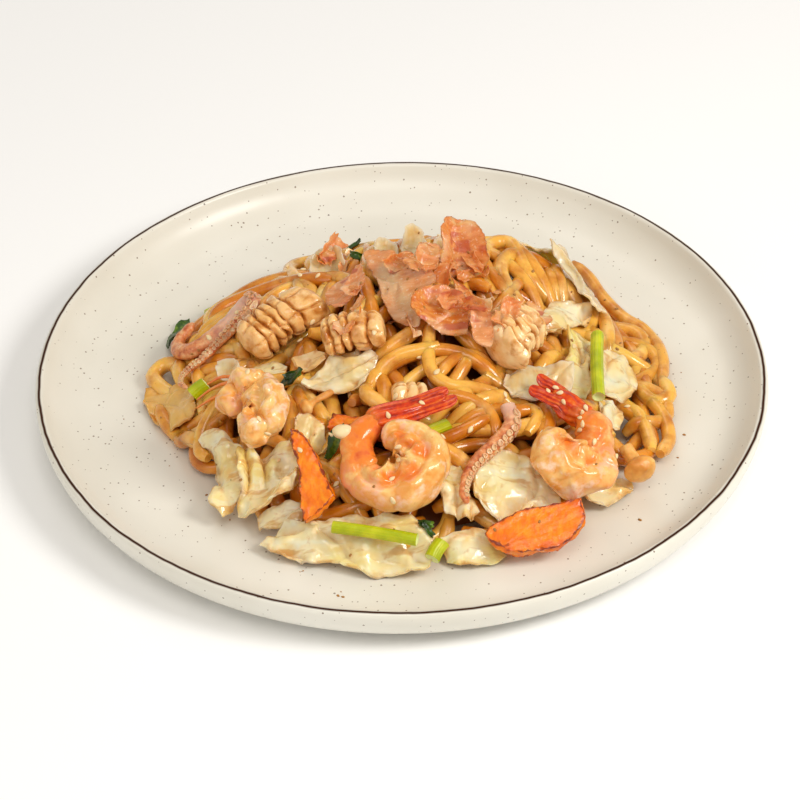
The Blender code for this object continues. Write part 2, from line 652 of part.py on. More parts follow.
SHAPED_NOODLES = (
    # back left
    [(-86, 24), (-78, 37), (-68, 45), (-56, 49), (-40, 47), (-22, 43)],
    [(-74, 30), (-68, 37), (-52, 40), (-38, 38), (-26, 31)],
    # left edge
    [(-72, 8), (-84, 12), (-92, 14), (-96, 8), (-88, -2), (-73, -8)],
    [(-66, -29), (-80, -25), (-84, -30), (-76, -37), (-66, -36)],
    [(-93, -10), (-88, -23), (-79, -33), (-67, -37)],
    [(-84, -27), (-79, -37), (-71, -45), (-62, -49)],
    # middle
    [(14, -18), (8, -20), (-1, -22), (-10, -29), (-13, -39), (-6, -47)],
    [(11, -8), (10, -22), (12, -31), (18, -36), (26, -36), (36, -37), (45, -40), (50, -46), (46, -55)],
    [(14, -32), (18, -25), (24, -20), (31, -20), (37, -26), (38, -36)],
    [(16, -40), (27, -43), (33, -49), (35, -58)],
    [(4, -52), (9, -56), (16, -58), (23, -56), (32, -50)],
    [(51, -34), (54, -48), (50, -60)],
    # back right
    [(31, 30), (33, 42), (37, 49), (43, 49), (46, 41), (49, 32), (55, 26), (66, 24)],
    [(56, 56), (65, 60), (74, 50), (80, 38), (87, 23), (92, 8), (94, -8)],
    # right edge
    [(70, 79), (76, 69), (81, 55), (88, 42), (95, 35), (99, 26), (101, 11), (100, -2)],
    [(90, 8), (91, -6), (96, -15), (102, -11), (100, -1)],
    [(80, -12), (88, -22), (92, -34), (93, -44)],
    [(94, -12), (99, -24), (100, -36), (96, -46)],
)


def open_at(x, y):
    """True where a noodle on the core has room, under the sky or under a raised topping."""
    column = cell_of(x)
    row = cell_of(y)
    return noodle_roof[column, row] > core_map[column, row] + 1.6 * NOODLE_RADIUS


def drawn_noodle(random_source):
    """The plan of one noodle: a walk whose bend changes slowly and turns back at the heap's edge."""
    angle = random_source.uniform(0, 2 * math.pi)
    out = NOODLE_REACH * math.sqrt(random_source.random())
    x = HEAP_X + out * math.cos(angle)
    y = HEAP_Y + out * math.sin(angle)
    heading = random_source.uniform(0, 2 * math.pi)
    bend = random_source.uniform(-0.05, 0.05)
    points = []
    for _ in range(int(NOODLE_LENGTH / 2)):
        points.append(Vector((x, y, 0)))
        x += 2 * math.cos(heading)
        y += 2 * math.sin(heading)
        bend = 0.93 * bend + random_source.uniform(-0.014, 0.014)
        heading += 2 * bend
        if math.hypot(x - HEAP_X, y - HEAP_Y) > NOODLE_REACH:
            outward = math.atan2(y - HEAP_Y, x - HEAP_X)
            side = math.sin(heading - outward)
            heading += 0.35 if side > 0 else -0.35
    return points


def open_runs(points):
    """The stretches of a plan that no topping covers, each with a short tail under the toppings."""
    tail = max(1, round(NOODLE_TAIL / NOODLE_STEP))
    shown = [open_at(point.x, point.y) for point in points]
    runs = []
    run = []
    for k, point in enumerate(points):
        if any(shown[max(0, k - tail):k + tail + 1]):
            run.append(point)
        elif run:
            runs.append(run)
            run = []
    runs.append(run)
    return [run for run in runs if len(run) > 3]


def noodle_heights(plan):
    """Lays a plan on the heap: over earlier noodles, and down under the toppings in its way."""
    lowest = FLOOR + GAP + NOODLE_RADIUS
    carried = []
    for point in plan:
        reach = [(point.x + 1.6 * math.cos(a), point.y + 1.6 * math.sin(a))
                 for a in np.arange(0, 6.2, 1.05)]
        ground = max(sample(noodle_top, x, y) for x, y in reach)
        carried.append(max(lowest, ground + NOODLE_RADIUS - NOODLE_SINK))
    beside = [carried[max(0, k - 1):k + 2] for k in range(len(plan))]
    eased = [sum(heights) / len(heights) for heights in beside]
    roofs = [noodle_roof[cell_of(point.x), cell_of(point.y)] - ROOM_ABOVE for point in plan]
    heights = []
    for k, point in enumerate(plan):
        allowed = min(roof + DIVE_SLOPE * (plan[n] - point).length for n, roof in enumerate(roofs))
        heights.append(min(eased[k], allowed))
    return heights, lowest


def note_noodle(path):
    """Marks a laid noodle on the map that carries the next ones."""
    for start, end in zip(path, path[1:]):
        for share in (0, 0.25, 0.5, 0.75):
            point = start.lerp(end, share)
            for i in cell_span(point.x - NOODLE_RADIUS, point.x + NOODLE_RADIUS):
                for j in cell_span(point.y - NOODLE_RADIUS, point.y + NOODLE_RADIUS):
                    across = math.hypot(i * CELL - REACH - point.x, j * CELL - REACH - point.y)
                    if across < NOODLE_RADIUS:
                        height = point.z + math.sqrt(NOODLE_RADIUS ** 2 - across ** 2)
                        noodle_top[i, j] = max(noodle_top[i, j], height)


def lay_noodle(plan):
    """Adds a noodle's solids along a plan to the guides, leaving out what would cross a topping."""
    for run in open_runs(plan):
        heights, lowest = noodle_heights(run)
        path = []
        for point, height in zip(run + [None], heights + [None]):
            if point is not None and height >= lowest:
                path.append(Vector((point.x, point.y, height)))
                continue
            if len(path) > 3:
                note_noodle(path)
                add_guide(path)
            path = []


def add_guide(path):
    """One noodle as a closed tube with slightly drawn-in ends."""
    sizes = [NOODLE_RADIUS] * len(path)
    sizes[0] = sizes[-1] = 0.8 * NOODLE_RADIUS
    bm = bmesh.new()
    sweep(bm, path, sizes, [0.95 * size for size in sizes], NOODLE_SIDES)
    keep_guide(add_object(f"noodle_guide_{len(guides.objects)}", bm, NOODLE))


def keep_guide(guide):
    """Moves a piece from the scene to the collection that the heap is joined with."""
    bpy.context.collection.objects.unlink(guide)
    guides.objects.link(guide)


def sesame(random_source):
    """Adds seeds that lie half sunk on the noodles, in the open and clear of every topping."""
    laid = 0
    while laid < SEEDS:
        angle = random_source.uniform(0, 2 * math.pi)
        out = 0.85 * CORE_RADIUS * math.sqrt(random_source.random())
        x = HEAP_X + out * math.cos(angle)
        y = HEAP_Y + out * math.sin(angle)
        rise = sample(noodle_top, x, y) - sample(core_map, x, y)
        if noodle_roof[cell_of(x), cell_of(y)] < FAR_UP or rise < NOODLE_RADIUS:
            continue
        bm = bmesh.new()
        bmesh.ops.create_icosphere(bm, subdivisions=1, radius=1)
        bm.transform(Matrix.Translation((x, y, sample(noodle_top, x, y) - 0.2))
                     @ Matrix.Rotation(random_source.uniform(0, math.pi), 4, "Z")
                     @ Matrix.Diagonal((SEED_LENGTH / 2, SEED_WIDTH / 2, SEED_WIDTH / 3, 1)))
        keep_guide(add_object(f"seed_guide_{laid}", bm, NOODLE))
        laid += 1


def newly_covered(plan):
    """How much open and still bare heap a plan would cover."""
    bare = 0
    for point in plan:
        if not open_at(point.x, point.y):
            bare -= 0.25
        else:
            rise = sample(noodle_top, point.x, point.y) - sample(core_map, point.x, point.y)
            bare += 1 if rise < 0.5 else -1.2
    return bare


def core():
    """The mound that carries the noodles, with a flat underside just clear of the plate."""
    bm = bmesh.new()
    bottom = FLOOR + GAP
    rings = []
    for k in range(1, CORE_RINGS + 1):
        out = CORE_RADIUS * (k / CORE_RINGS) ** 0.8 * 0.995
        ring = []
        for n in range(CORE_SEGMENTS):
            angle = 2 * math.pi * n / CORE_SEGMENTS
            x = HEAP_X + out * math.cos(angle)
            y = HEAP_Y + out * math.sin(angle)
            ring.append(bm.verts.new((x, y, max(heap_height(x, y) - GAP, bottom + 1))))
        rings.append(ring)
    peak = bm.verts.new((HEAP_X, HEAP_Y, heap_height(HEAP_X, HEAP_Y) - GAP))
    base = [bm.verts.new((vert.co.x, vert.co.y, bottom)) for vert in rings[-1]]
    for n in range(CORE_SEGMENTS):
        m = (n + 1) % CORE_SEGMENTS
        bm.faces.new((peak, rings[0][n], rings[0][m]))
        for inner, outer in zip(rings, rings[1:] + [base]):
            bm.faces.new((inner[n], outer[n], outer[m], inner[m]))
    bm.faces.new(list(reversed(base)))
    return add_object("noodles", bm, NOODLE)


def largest_body_only(made):
    """Drops sealed hollows and loose scraps, so that one closed body is left."""
    bm = bmesh.new()
    bm.from_mesh(made.data)
    unseen = set(bm.verts)
    bodies = []
    while unseen:
        body = {unseen.pop()}
        edge_of_body = list(body)
        while edge_of_body:
            vert = edge_of_body.pop()
            for edge in vert.link_edges:
                other = edge.other_vert(vert)
                if other in unseen:
                    unseen.remove(other)
                    body.add(other)
                    edge_of_body.append(other)
        bodies.append(body)
    bodies.sort(key=len)
    spare = [vert for body in bodies[:-1] for vert in body]
    bmesh.ops.delete(bm, geom=spare, context="VERTS")
    bmesh.ops.dissolve_limit(bm, angle_limit=math.radians(FLAT_ANGLE), verts=bm.verts, edges=bm.edges)
    bmesh.ops.triangulate(bm, faces=bm.faces)
    bm.to_mesh(made.data)
    bm.free()


def noodles():
    """The heap: its core and the noodles that show, joined into one solid."""
    random_source = random.Random(DRAW)
    for _ in range(NOODLE_COUNT):
        drawn = [drawn_noodle(random_source) for _ in range(NOODLE_TRIES)]
        lay_noodle(curve_through(max(drawn, key=newly_covered), NOODLE_STEP))
    for points in SHAPED_NOODLES:
        lay_noodle(curve_through([(x, y, 0) for x, y in points], NOODLE_STEP))
    sesame(random_source)
    heap = core()
    union = heap.modifiers.new("join", "BOOLEAN")
    union.operation = "UNION"
    union.solver = "EXACT"
    union.operand_type = "COLLECTION"
    union.collection = guides
    evaluated = heap.evaluated_get(bpy.context.evaluated_depsgraph_get())
    joined = bpy.data.meshes.new_from_object(evaluated)
    heap.modifiers.clear()
    heap.data = joined
    for guide in list(guides.objects):
        bpy.data.objects.remove(guide, do_unlink=True)
    bpy.data.collections.remove(guides)
    largest_body_only(heap)


# ---------------------------------------------------------------- build

plate()
cabbage()
onion()
stems()
carrots()
mushrooms()
squid()
prawns()
greens()
flakes()
noodle_roof = spread(under_map, ROOM_BESIDE, np.minimum)
noodle_top = core_map.copy()
guides = bpy.data.collections.new("noodle_guides")
bpy.context.scene.collection.children.link(guides)
noodles()
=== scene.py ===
# %% [markdown]
# # Yaki udon on its plate
#
# Thick wheat noodles fried with a dark sauce, under prawns, scored squid, cabbage, carrot, green
# stems, onion, mushroom and dried fish flakes, on a flat stoneware plate with an upright rim.
#
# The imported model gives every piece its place. Each solid of the food is replaced here by a
# detailed piece of the same form: smooth noodles in place of a faceted heap, ringed prawns in
# place of plain tubes, crumpled leaves in place of wavy slabs. The cells go from the plate
# upwards, as a cook would lay the food.

# %% The frame
import math
import random

import bpy
import numpy as np
from mathutils import Matrix, Vector, noise
from mathutils.bvhtree import BVHTree
from mathutils.kdtree import KDTree


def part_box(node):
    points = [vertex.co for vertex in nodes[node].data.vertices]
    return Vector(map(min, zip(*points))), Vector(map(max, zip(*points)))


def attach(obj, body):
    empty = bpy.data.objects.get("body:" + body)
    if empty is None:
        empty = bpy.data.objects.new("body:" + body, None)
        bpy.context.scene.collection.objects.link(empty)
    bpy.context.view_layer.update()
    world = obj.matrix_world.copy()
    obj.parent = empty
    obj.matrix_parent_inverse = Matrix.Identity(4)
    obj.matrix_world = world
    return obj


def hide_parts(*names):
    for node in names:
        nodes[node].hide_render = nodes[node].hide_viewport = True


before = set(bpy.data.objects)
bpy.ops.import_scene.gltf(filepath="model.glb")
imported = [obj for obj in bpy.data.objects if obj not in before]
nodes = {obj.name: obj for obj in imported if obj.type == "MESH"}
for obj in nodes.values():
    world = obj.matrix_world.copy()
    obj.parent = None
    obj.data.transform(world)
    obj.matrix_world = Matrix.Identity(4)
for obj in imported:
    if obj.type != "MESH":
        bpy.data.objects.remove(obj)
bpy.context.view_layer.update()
MM = 0.001

# %% [markdown]
# ## Working by hand, in code
#
# The operators act on whatever is selected, so nothing may stay selected by accident. `take`
# picks one piece and nothing else, `modify` gives it a modifier and applies it, and `serve` ends the
# work on a piece: its place goes into its mesh, it gets its material, and it is tied to the frame.

# %% Selecting, applying and finishing
def calm():
    """Leaves edit mode and selects nothing."""
    if bpy.context.mode != "OBJECT":
        bpy.ops.object.mode_set(mode="OBJECT")
    bpy.ops.object.select_all(action="DESELECT")


def take(piece):
    """Selects one piece alone and makes it the active one."""
    calm()
    piece.select_set(True)
    bpy.context.view_layer.objects.active = piece


def edit(piece, kind="VERT"):
    """Opens a piece in edit mode with everything selected."""
    take(piece)
    bpy.ops.object.mode_set(mode="EDIT")
    bpy.ops.mesh.select_mode(type=kind)
    bpy.ops.mesh.select_all(action="SELECT")


def modify(piece, kind, **settings):
    """Gives a piece a modifier, sets it up and applies it."""
    take(piece)
    modifier = piece.modifiers.new(kind.lower(), kind)
    for name, value in settings.items():
        setattr(modifier, name, value)
    bpy.ops.object.modifier_apply(modifier=modifier.name)


def named(name):
    """Names what an operator has just made, and gives it back."""
    bpy.context.object.name = name
    return bpy.context.object


def settle():
    """Puts the place, turn and size of the piece in hand into its mesh."""
    bpy.ops.object.transform_apply(location=True, rotation=True, scale=True)


def new_piece(name, data):
    """A new object of a mesh or a curve, in the scene."""
    piece = bpy.data.objects.new(name, data)
    bpy.context.collection.objects.link(piece)
    return piece


def pick_out(piece, kind, chosen):
    """Opens a piece in edit mode with only the chosen edges or faces selected."""
    edit(piece, kind)
    bpy.ops.mesh.select_all(action="DESELECT")
    calm()
    for part in piece.data.edges if kind == "EDGE" else piece.data.polygons:
        part.select = chosen(part)
    take(piece)
    bpy.ops.object.mode_set(mode="EDIT")


def triangles(piece):
    """How many triangles a piece has."""
    return sum(len(face.vertices) - 2 for face in piece.data.polygons)


def join(pieces, name):
    """Makes one piece of several."""
    take(pieces[0])
    for piece in pieces:
        piece.select_set(True)
    bpy.ops.object.join()
    pieces[0].name = name
    return pieces[0]


def serve(piece, material, slot, *stands_for, smooth=60):
    """Ends the work on a piece: place in its mesh, smooth shading, material and frame."""
    take(piece)
    settle()
    bpy.ops.object.shade_smooth_by_angle(angle=math.radians(smooth))
    piece.data.materials.clear()
    piece.data.materials.append(material)
    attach(piece, "root")
    if stands_for:
        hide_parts(*stands_for)
    calm()


def positions(piece):
    """Where a piece's vertices are, in millimetres, as an array of rows."""
    flat = np.zeros(len(piece.data.vertices) * 3, np.float32)
    piece.data.vertices.foreach_get("co", flat)
    return flat.reshape(-1, 3).astype(float) / MM


def move_to(piece, points):
    """Puts a piece's vertices at places in millimetres."""
    piece.data.vertices.foreach_set("co", (np.asarray(points) * MM).astype(np.float32).ravel())
    piece.data.update()


def paint(piece, name, values):
    """Keeps one number for each vertex, or one for all of them, for a material to read."""
    layer = piece.data.attributes.get(name) or piece.data.attributes.new(name, "FLOAT", "POINT")
    layer.data.foreach_set("value", np.full(len(piece.data.vertices), values, np.float32))


def wave(x, y, z=0):
    """Smooth noise between about -1 and 1 at a place."""
    return noise.noise(Vector((x, y, z)))


# %% [markdown]
# ## Colour and nodes
#
# Colours are read off as sRGB hex values. Blender's shaders work in linear light, so one function
# converts them. `finish` begins a material, `add` puts a shader node into the material that was begun
# last, sets it up and links it, and the short functions after it say what it does.

# %% Colour and node helpers
def linear(code):
    """An sRGB hex colour in linear light."""
    parts = [int(code[k:k + 2], 16) / 255 for k in (0, 2, 4)]
    return (*[c / 12.92 if c <= 0.04045 else ((c + 0.055) / 1.055) ** 2.4 for c in parts], 1.0)


def add(kind, inputs=None, **settings):
    """Adds a node. inputs gives each input a value, or another node's output to link."""
    made = tree.nodes.new(kind)
    for name, value in settings.items():
        setattr(made, name, value)
    for name, value in (inputs or {}).items():
        if isinstance(value, bpy.types.NodeSocket):
            tree.links.new(value, made.inputs[name])
        else:
            made.inputs[name].default_value = value
    return made


def finish(name, roughness, ior=1.45, **settings):
    """Begins a material. Its Principled shader's plain inputs are set by name."""
    global tree
    material = bpy.data.materials.new(name)
    material.use_nodes = True
    tree = material.node_tree
    shader = tree.nodes["Principled BSDF"]
    shader.inputs["Roughness"].default_value = roughness
    shader.inputs["IOR"].default_value = ior
    for name, value in settings.items():
        shader.inputs[name.replace("_", " ")].default_value = value
    return material, shader


def dye(shader, colour):
    """Gives a shader its colour, a hex code or another node's output."""
    if isinstance(colour, str):
        shader.inputs["Base Color"].default_value = linear(colour)
    else:
        tree.links.new(colour, shader.inputs["Base Color"])


def kept(name):
    """The number that a mesh keeps under a name."""
    return add("ShaderNodeAttribute", attribute_name=name).outputs["Fac"]


def ramp(factor, stops):
    """A colour ramp whose stops are pairs of a place and a hex colour."""
    made = add("ShaderNodeValToRGB", {"Fac": factor})
    while len(made.color_ramp.elements) < len(stops):
        made.color_ramp.elements.new(0.5)
    for element, (place, code) in zip(made.color_ramp.elements, stops):
        element.position = place
        element.color = linear(code)
    return made.outputs["Color"]


def blend(factor, low, high):
    """Mixes two colours, each a hex code or another node's output."""
    made = add("ShaderNodeMix", {0: factor}, data_type="RGBA")
    for place, colour in ((6, low), (7, high)):
        if isinstance(colour, str):
            made.inputs[place].default_value = linear(colour)
        else:
            tree.links.new(colour, made.inputs[place])
    return made.outputs[2]


def coat(base, colour, where, strength):
    """Lays a colour over another, as strong as it may get, where a number from 0 to 1 says."""
    return blend(times(where, strength), base, colour)


def grain(size_mm, detail=3.0, stretch=(1, 1, 1), distortion=0.0):
    """Noise on object coordinates whose blobs are about size_mm across, from 0 to 1."""
    place = add("ShaderNodeTexCoord").outputs["Object"]
    mapped = add("ShaderNodeMapping", {"Vector": place, "Scale": stretch})
    return add("ShaderNodeTexNoise",
               {"Vector": mapped.outputs[0], "Scale": 1 / (size_mm * MM), "Detail": detail,
                "Roughness": 0.55, "Distortion": distortion}).outputs["Fac"]


def ease(value, low, high, low_out=0.0, high_out=1.0):
    """Turns a number between low and high into one between low_out and high_out."""
    return add("ShaderNodeMapRange",
               {"Value": value, "From Min": low, "From Max": high, "To Min": low_out,
                "To Max": high_out}).outputs["Result"]


def math_of(operation, first, second=0.0):
    """One arithmetic step on two numbers."""
    return add("ShaderNodeMath", {0: first, 1: second}, operation=operation).outputs[0]


def times(first, second):
    """The product of two numbers."""
    return math_of("MULTIPLY", first, second)


def plus(first, second):
    """The sum of two numbers."""
    return math_of("ADD", first, second)


def emboss(shader, height, depth_mm):
    """Raises the surface by a pattern, by depth_mm where the pattern is 1."""
    bump = add("ShaderNodeBump", {"Height": height, "Distance": depth_mm * MM})
    tree.links.new(bump.outputs["Normal"], shader.inputs["Normal"])


# %% [markdown]
# ## Camera, light and floor
#
# The picture was taken from 39 degrees above the table with a long lens. A soft window stands
# high on the right and a little in front, which leaves that side of the well in shade. Three weaker
# lamps, on the left, behind and overhead, and a pale world stand for the room. The floor is plain
# and nearly white.

# %% Camera
CAMERA_AWAY = 1200.0
CAMERA_ELEVATION = 38.777
CAMERA_ROLL = 0.795
LENS = 142.8
AIM = Vector((-0.75, -19.72, 20.0))

rise = math.radians(CAMERA_ELEVATION)
stand = AIM + CAMERA_AWAY * Vector((0, -math.cos(rise), math.sin(rise)))
bpy.ops.object.camera_add(location=stand * MM)
camera = named("camera")
camera.rotation_mode = "QUATERNION"
camera.rotation_quaternion = ((AIM - stand).to_track_quat("-Z", "Y")
                              @ Matrix.Rotation(math.radians(-CAMERA_ROLL), 3, "Z").to_quaternion())
camera.data.lens = LENS
camera.data.sensor_width = 36.0
camera.data.clip_end = 20.0
bpy.context.scene.camera = camera
print("camera stands", [round(v) for v in stand], "mm")

# %% Light
LIGHTS = (       # name, place in metres, size in metres, watts, hex colour
    ("window", (0.80, -0.36, 0.86), 0.46, 8.4, "FFFCF7"),
    ("room_left", (-0.95, -0.60, 0.60), 0.8, 2.0, "FFFAF2"),
    ("room_back", (-0.15, 0.75, 0.95), 0.5, 0.9, "FFFAF2"),
    ("ceiling", (0.0, -0.60, 1.10), 0.6, 3.0, "FFFAF2"),
)
for name, place, size, power, code in LIGHTS:
    bpy.ops.object.light_add(type="AREA", location=place)
    lamp = named(name)
    lamp.data.shape = "DISK"
    lamp.data.size = size
    lamp.data.energy = power
    lamp.data.color = linear(code)[:3]
    lamp.rotation_mode = "QUATERNION"
    lamp.rotation_quaternion = (-Vector(place)).to_track_quat("-Z", "Y")

WORLD_STRENGTH = 0.47
world = bpy.data.worlds.new("pale_room")
world.use_nodes = True
sky = world.node_tree.nodes["Background"]
sky.inputs["Color"].default_value = linear("FFF9F1")
sky.inputs["Strength"].default_value = WORLD_STRENGTH
bpy.context.scene.world = world
bpy.context.scene.view_settings.view_transform = "Standard"

# %% Floor
bpy.ops.mesh.primitive_plane_add(size=6.0, location=(0, 0, 0))
floor = named("floor")
paint_of_floor, shader = finish("matt_white_paint", 0.7)
dye(shader, "FDFEFF")
floor.data.materials.append(paint_of_floor)
calm()

# %% [markdown]
# ## The plate
#
# The real plate is thrown stoneware: a flat floor, a rounded cove, an upright wall 20 mm high and
# a foot ring underneath. A potter turns it, so here a circle is drawn at the middle and extruded
# ring by ring along the profile, which is the same thing by hand. Short steps round the rim.

# %% Plate
PLATE_PROFILE = [        # radius and height in mm, from the middle of the floor over the rim to the foot
    (60.0, 7.0), (104.0, 7.0), (114.0, 7.0), (118.0, 7.05), (121.5, 7.4), (125.0, 8.2),
    (128.5, 9.6), (131.5, 11.6), (133.9, 14.0), (135.6, 16.6), (136.6, 18.9), (137.1, 19.7),
    (137.8, 20.0), (139.0, 19.9), (139.7, 19.4), (140.0, 18.2), (139.6, 14.8), (138.4, 11.4),
    (136.4, 8.2), (133.6, 5.6), (130.0, 3.7), (126.0, 2.6), (121.0, 2.2), (90.0, 2.2),
    (77.6, 2.2), (76.9, 1.6), (76.4, 0.35), (75.9, 0.0), (71.1, 0.0), (70.6, 0.35),
    (70.2, 1.6), (69.5, 2.2), (40.0, 2.2)]
PLATE_SIDES = 192

bpy.ops.mesh.primitive_circle_add(vertices=PLATE_SIDES, radius=PLATE_PROFILE[0][0] * MM,
                                  fill_type="TRIFAN", location=(0, 0, PLATE_PROFILE[0][1] * MM))
plate = named("stoneware_plate")
edit(plate, "EDGE")
bpy.ops.mesh.select_all(action="DESELECT")
bpy.ops.mesh.select_non_manifold()
for (inner, low), (outer, high) in zip(PLATE_PROFILE, PLATE_PROFILE[1:]):
    bpy.ops.mesh.extrude_region_move(TRANSFORM_OT_translate={"value": (0, 0, (high - low) * MM)})
    bpy.ops.transform.resize(value=(outer / inner, outer / inner, 1), center_override=(0, 0, 0))
bpy.ops.mesh.edge_face_add()
bpy.ops.mesh.poke()
bpy.ops.mesh.select_all(action="SELECT")
bpy.ops.mesh.normals_make_consistent(inside=False)
calm()

# %% [markdown]
# The glaze is a satin off-white over iron-bearing clay. Where it is thin, on the edge of the rim,
# the clay burns through as a dark brown line, and iron grains melt up into fine specks. The line
# is drawn from the distance to the plate's axis, the specks from the cells of two Voronoi patterns.
# They are less than a millimetre across.

# %% Speckled glaze
RIM_LINE = 0.1384               # how far the brown line is from the plate's axis, in metres
RIM_WANDER = 0.0002             # how far it strays from there
RIM_WIDTH = (0.0003, 0.0008)    # where it begins to fade on each side, and where it ends
RIM_HEIGHT = (0.0185, 0.0195)   # it fades in between these heights
glaze, shader = finish("speckled_stoneware_glaze", 0.32, ior=1.5)
place = add("ShaderNodeTexCoord").outputs["Object"]
wide = grain(60, detail=2)
base = blend(ease(wide, 0.35, 0.65), "E8E5DA", "E0DCCF")


def specks(place, cell_mm, size, share):
    """1 in small round specks: a share of a pattern's cells has one, up to size times a cell."""
    cells = add("ShaderNodeTexVoronoi", {"Vector": place, "Scale": 1 / (cell_mm * MM), "Randomness": 1.0})
    pick = add("ShaderNodeSeparateColor", {"Color": cells.outputs["Color"]})
    chosen = math_of("LESS_THAN", pick.outputs[0], share)
    reach = times(pick.outputs[1], size)
    near = math_of("LESS_THAN", cells.outputs["Distance"], reach)
    return times(chosen, near)


fine = specks(place, cell_mm=2.1, size=0.2, share=0.55)
coarse = specks(place, cell_mm=8.0, size=0.06, share=0.45)
speckled = coat(base, "7A6450", fine, 0.85)
speckled = coat(speckled, "54402E", coarse, 0.9)
axes = add("ShaderNodeSeparateXYZ", {"Vector": place})
across = add("ShaderNodeCombineXYZ", {"X": axes.outputs[0], "Y": axes.outputs[1]})
radius = add("ShaderNodeVectorMath", {0: across.outputs[0]}, operation="LENGTH").outputs["Value"]
wander = ease(grain(14, detail=2), 0.3, 0.7, -RIM_WANDER, RIM_WANDER)
offset = math_of("ABSOLUTE", plus(math_of("SUBTRACT", radius, RIM_LINE), wander))
line = times(ease(offset, *RIM_WIDTH, 1, 0), ease(axes.outputs[2], *RIM_HEIGHT))
speckled = blend(line, speckled, "3A1A06")
dye(shader, speckled)
tree.links.new(ease(line, 0.0, 1.0, 0.5, 0.1), shader.inputs["Specular IOR Level"])
emboss(shader, grain(25, detail=2), 0.25)
serve(plate, glaze, "plate_glaze", "plate", smooth=50)
print("plate faces:", len(plate.data.polygons))

# %% [markdown]
# ## A relief map of the heap
#
# A noodle lies where its plan takes it, on whatever is there, and under every topping above it.
# So the scene keeps maps of the plate on a square grid: the top of what has been laid so far, and
# the lowest underside of the toppings, found by looking straight up at the CAD solids with rays.

# %% Maps
CELL = 1.0
REACH = 125.0
CELLS = int(2 * REACH / CELL) + 1
FAR_UP = 500.0
FLOOR = 7.0
HEAP = Vector((2.0, -9.0, 0))
HEAP_RADIUS = 90.0
HEAP_RISE = 28.0
HEAP_POWER = 0.62
PEAKS = ((16.0, 32.0, 12.0, 25.0), (4.0, 8.0, 8.0, 15.0), (58.0, 52.0, 13.0, 15.0))
steps = np.arange(CELLS) * CELL - REACH
grid_x, grid_y = np.meshgrid(steps, steps, indexing="ij")


def mound(x, y):
    """Height of the smooth heap under the noodles, for arrays of places."""
    inside = np.clip(1 - ((x - HEAP.x) ** 2 + (y - HEAP.y) ** 2) / HEAP_RADIUS ** 2, 0, 1)
    peaks = sum(up * np.exp(-((x - px) ** 2 + (y - py) ** 2) / (2 * wide ** 2)) for px, py, up, wide in PEAKS)
    return FLOOR + HEAP_RISE * inside ** HEAP_POWER + peaks * np.minimum(1, inside * 4)


def cells(low, high):
    """The cell numbers that cover a stretch along X or Y."""
    first, last = (int(round((end + REACH) / CELL)) for end in (low, high))
    return range(max(first, 0), min(last, CELLS - 1) + 1)


def look_up(piece, undersides):
    """Marks a piece on a map: its lowest surface over every cell."""
    points = positions(piece)
    faces = [tuple(face.vertices) for face in piece.data.polygons]
    surface = BVHTree.FromPolygons([Vector(p) for p in points], faces)
    low, high = points.min(0), points.max(0)
    for i in cells(low[0], high[0]):
        for j in cells(low[1], high[1]):
            x, y = i * CELL - REACH, j * CELL - REACH
            hit = surface.ray_cast(Vector((x, y, -FAR_UP)), Vector((0, 0, 1)))[0]
            if hit:
                undersides[i, j] = min(undersides[i, j], hit.z)


def spread(grid, radius, pick):
    """The highest or lowest value within a radius of every cell."""
    wide = grid.copy()
    reach = int(math.ceil(radius / CELL))
    for i in range(-reach, reach + 1):
        for j in range(-reach, reach + 1):
            if 0 < math.hypot(i, j) * CELL <= radius:
                wide = pick(wide, np.roll(grid, (i, j), (0, 1)))
    return wide


def soften(grid, rounds):
    """Each cell averaged with its neighbours."""
    for _ in range(rounds):
        total = 2 * grid
        for axis in (0, 1):
            for shift in (1, -1):
                total = total + np.roll(grid, shift, axis)
        grid = total / 6
    return grid


def sample(grid, x, y):
    """The map's height between its cells, for arrays of places."""
    across = np.clip((np.asarray(x) + REACH) / CELL, 0, CELLS - 1.001)
    along = np.clip((np.asarray(y) + REACH) / CELL, 0, CELLS - 1.001)
    i, j = across.astype(int), along.astype(int)
    s, t = across - i, along - j
    return ((grid[i, j] * (1 - s) + grid[i + 1, j] * s) * (1 - t)
            + (grid[i, j + 1] * (1 - s) + grid[i + 1, j + 1] * s) * t)


mound_map = mound(grid_x, grid_y)
under_map = np.full((CELLS, CELLS), FAR_UP)
for name, solid in nodes.items():
    if name not in ("plate", "noodles"):
        look_up(solid, under_map)
covered, heap_cells = float((under_map < FAR_UP).sum()), float((mound_map > FLOOR).sum())
print("heap covered by toppings:", round(100 * covered / heap_cells), "%")

# %% [markdown]
# ## The noodles
#
# Udon is a wheat noodle about 6 mm thick. About a hundred lengths lie over and under each other,
# and few of them can be followed by eye. Each one is a curve: its plan is a walk whose bend
# changes slowly, chosen out of many draws because it covers the barest part of the heap. Its
# height is that of what carries it, smoothed along its length as the noodle's own stiffness does.
# The noodles that the eye follows in the picture have plans of their own and come last, on top.
# Round curves with a bevel are then turned into one mesh.

# %% How a noodle lies
NOODLE_RADIUS = 2.95
NOODLE_STEP = 2.0
SINK = 0.5              # how far a noodle presses into the one below it
UNDER_TOPPING = 0.4     # gap between a noodle and the topping over it
STIFF = 24              # times that a noodle's height is smoothed along its length
HIGHEST = 6.5           # how far a noodle's middle may rise over the mound
# The heap's edge in the picture: how far it reaches from its middle, by the angle in degrees.
EDGE_ANGLES = (0, 30, 50, 80, 130, 160, 180, 200, 215, 250, 285, 315, 335, 360)
EDGE_REACH = (98, 98, 91, 86, 86, 91, 94, 87, 82, 84, 86, 89, 96, 98)

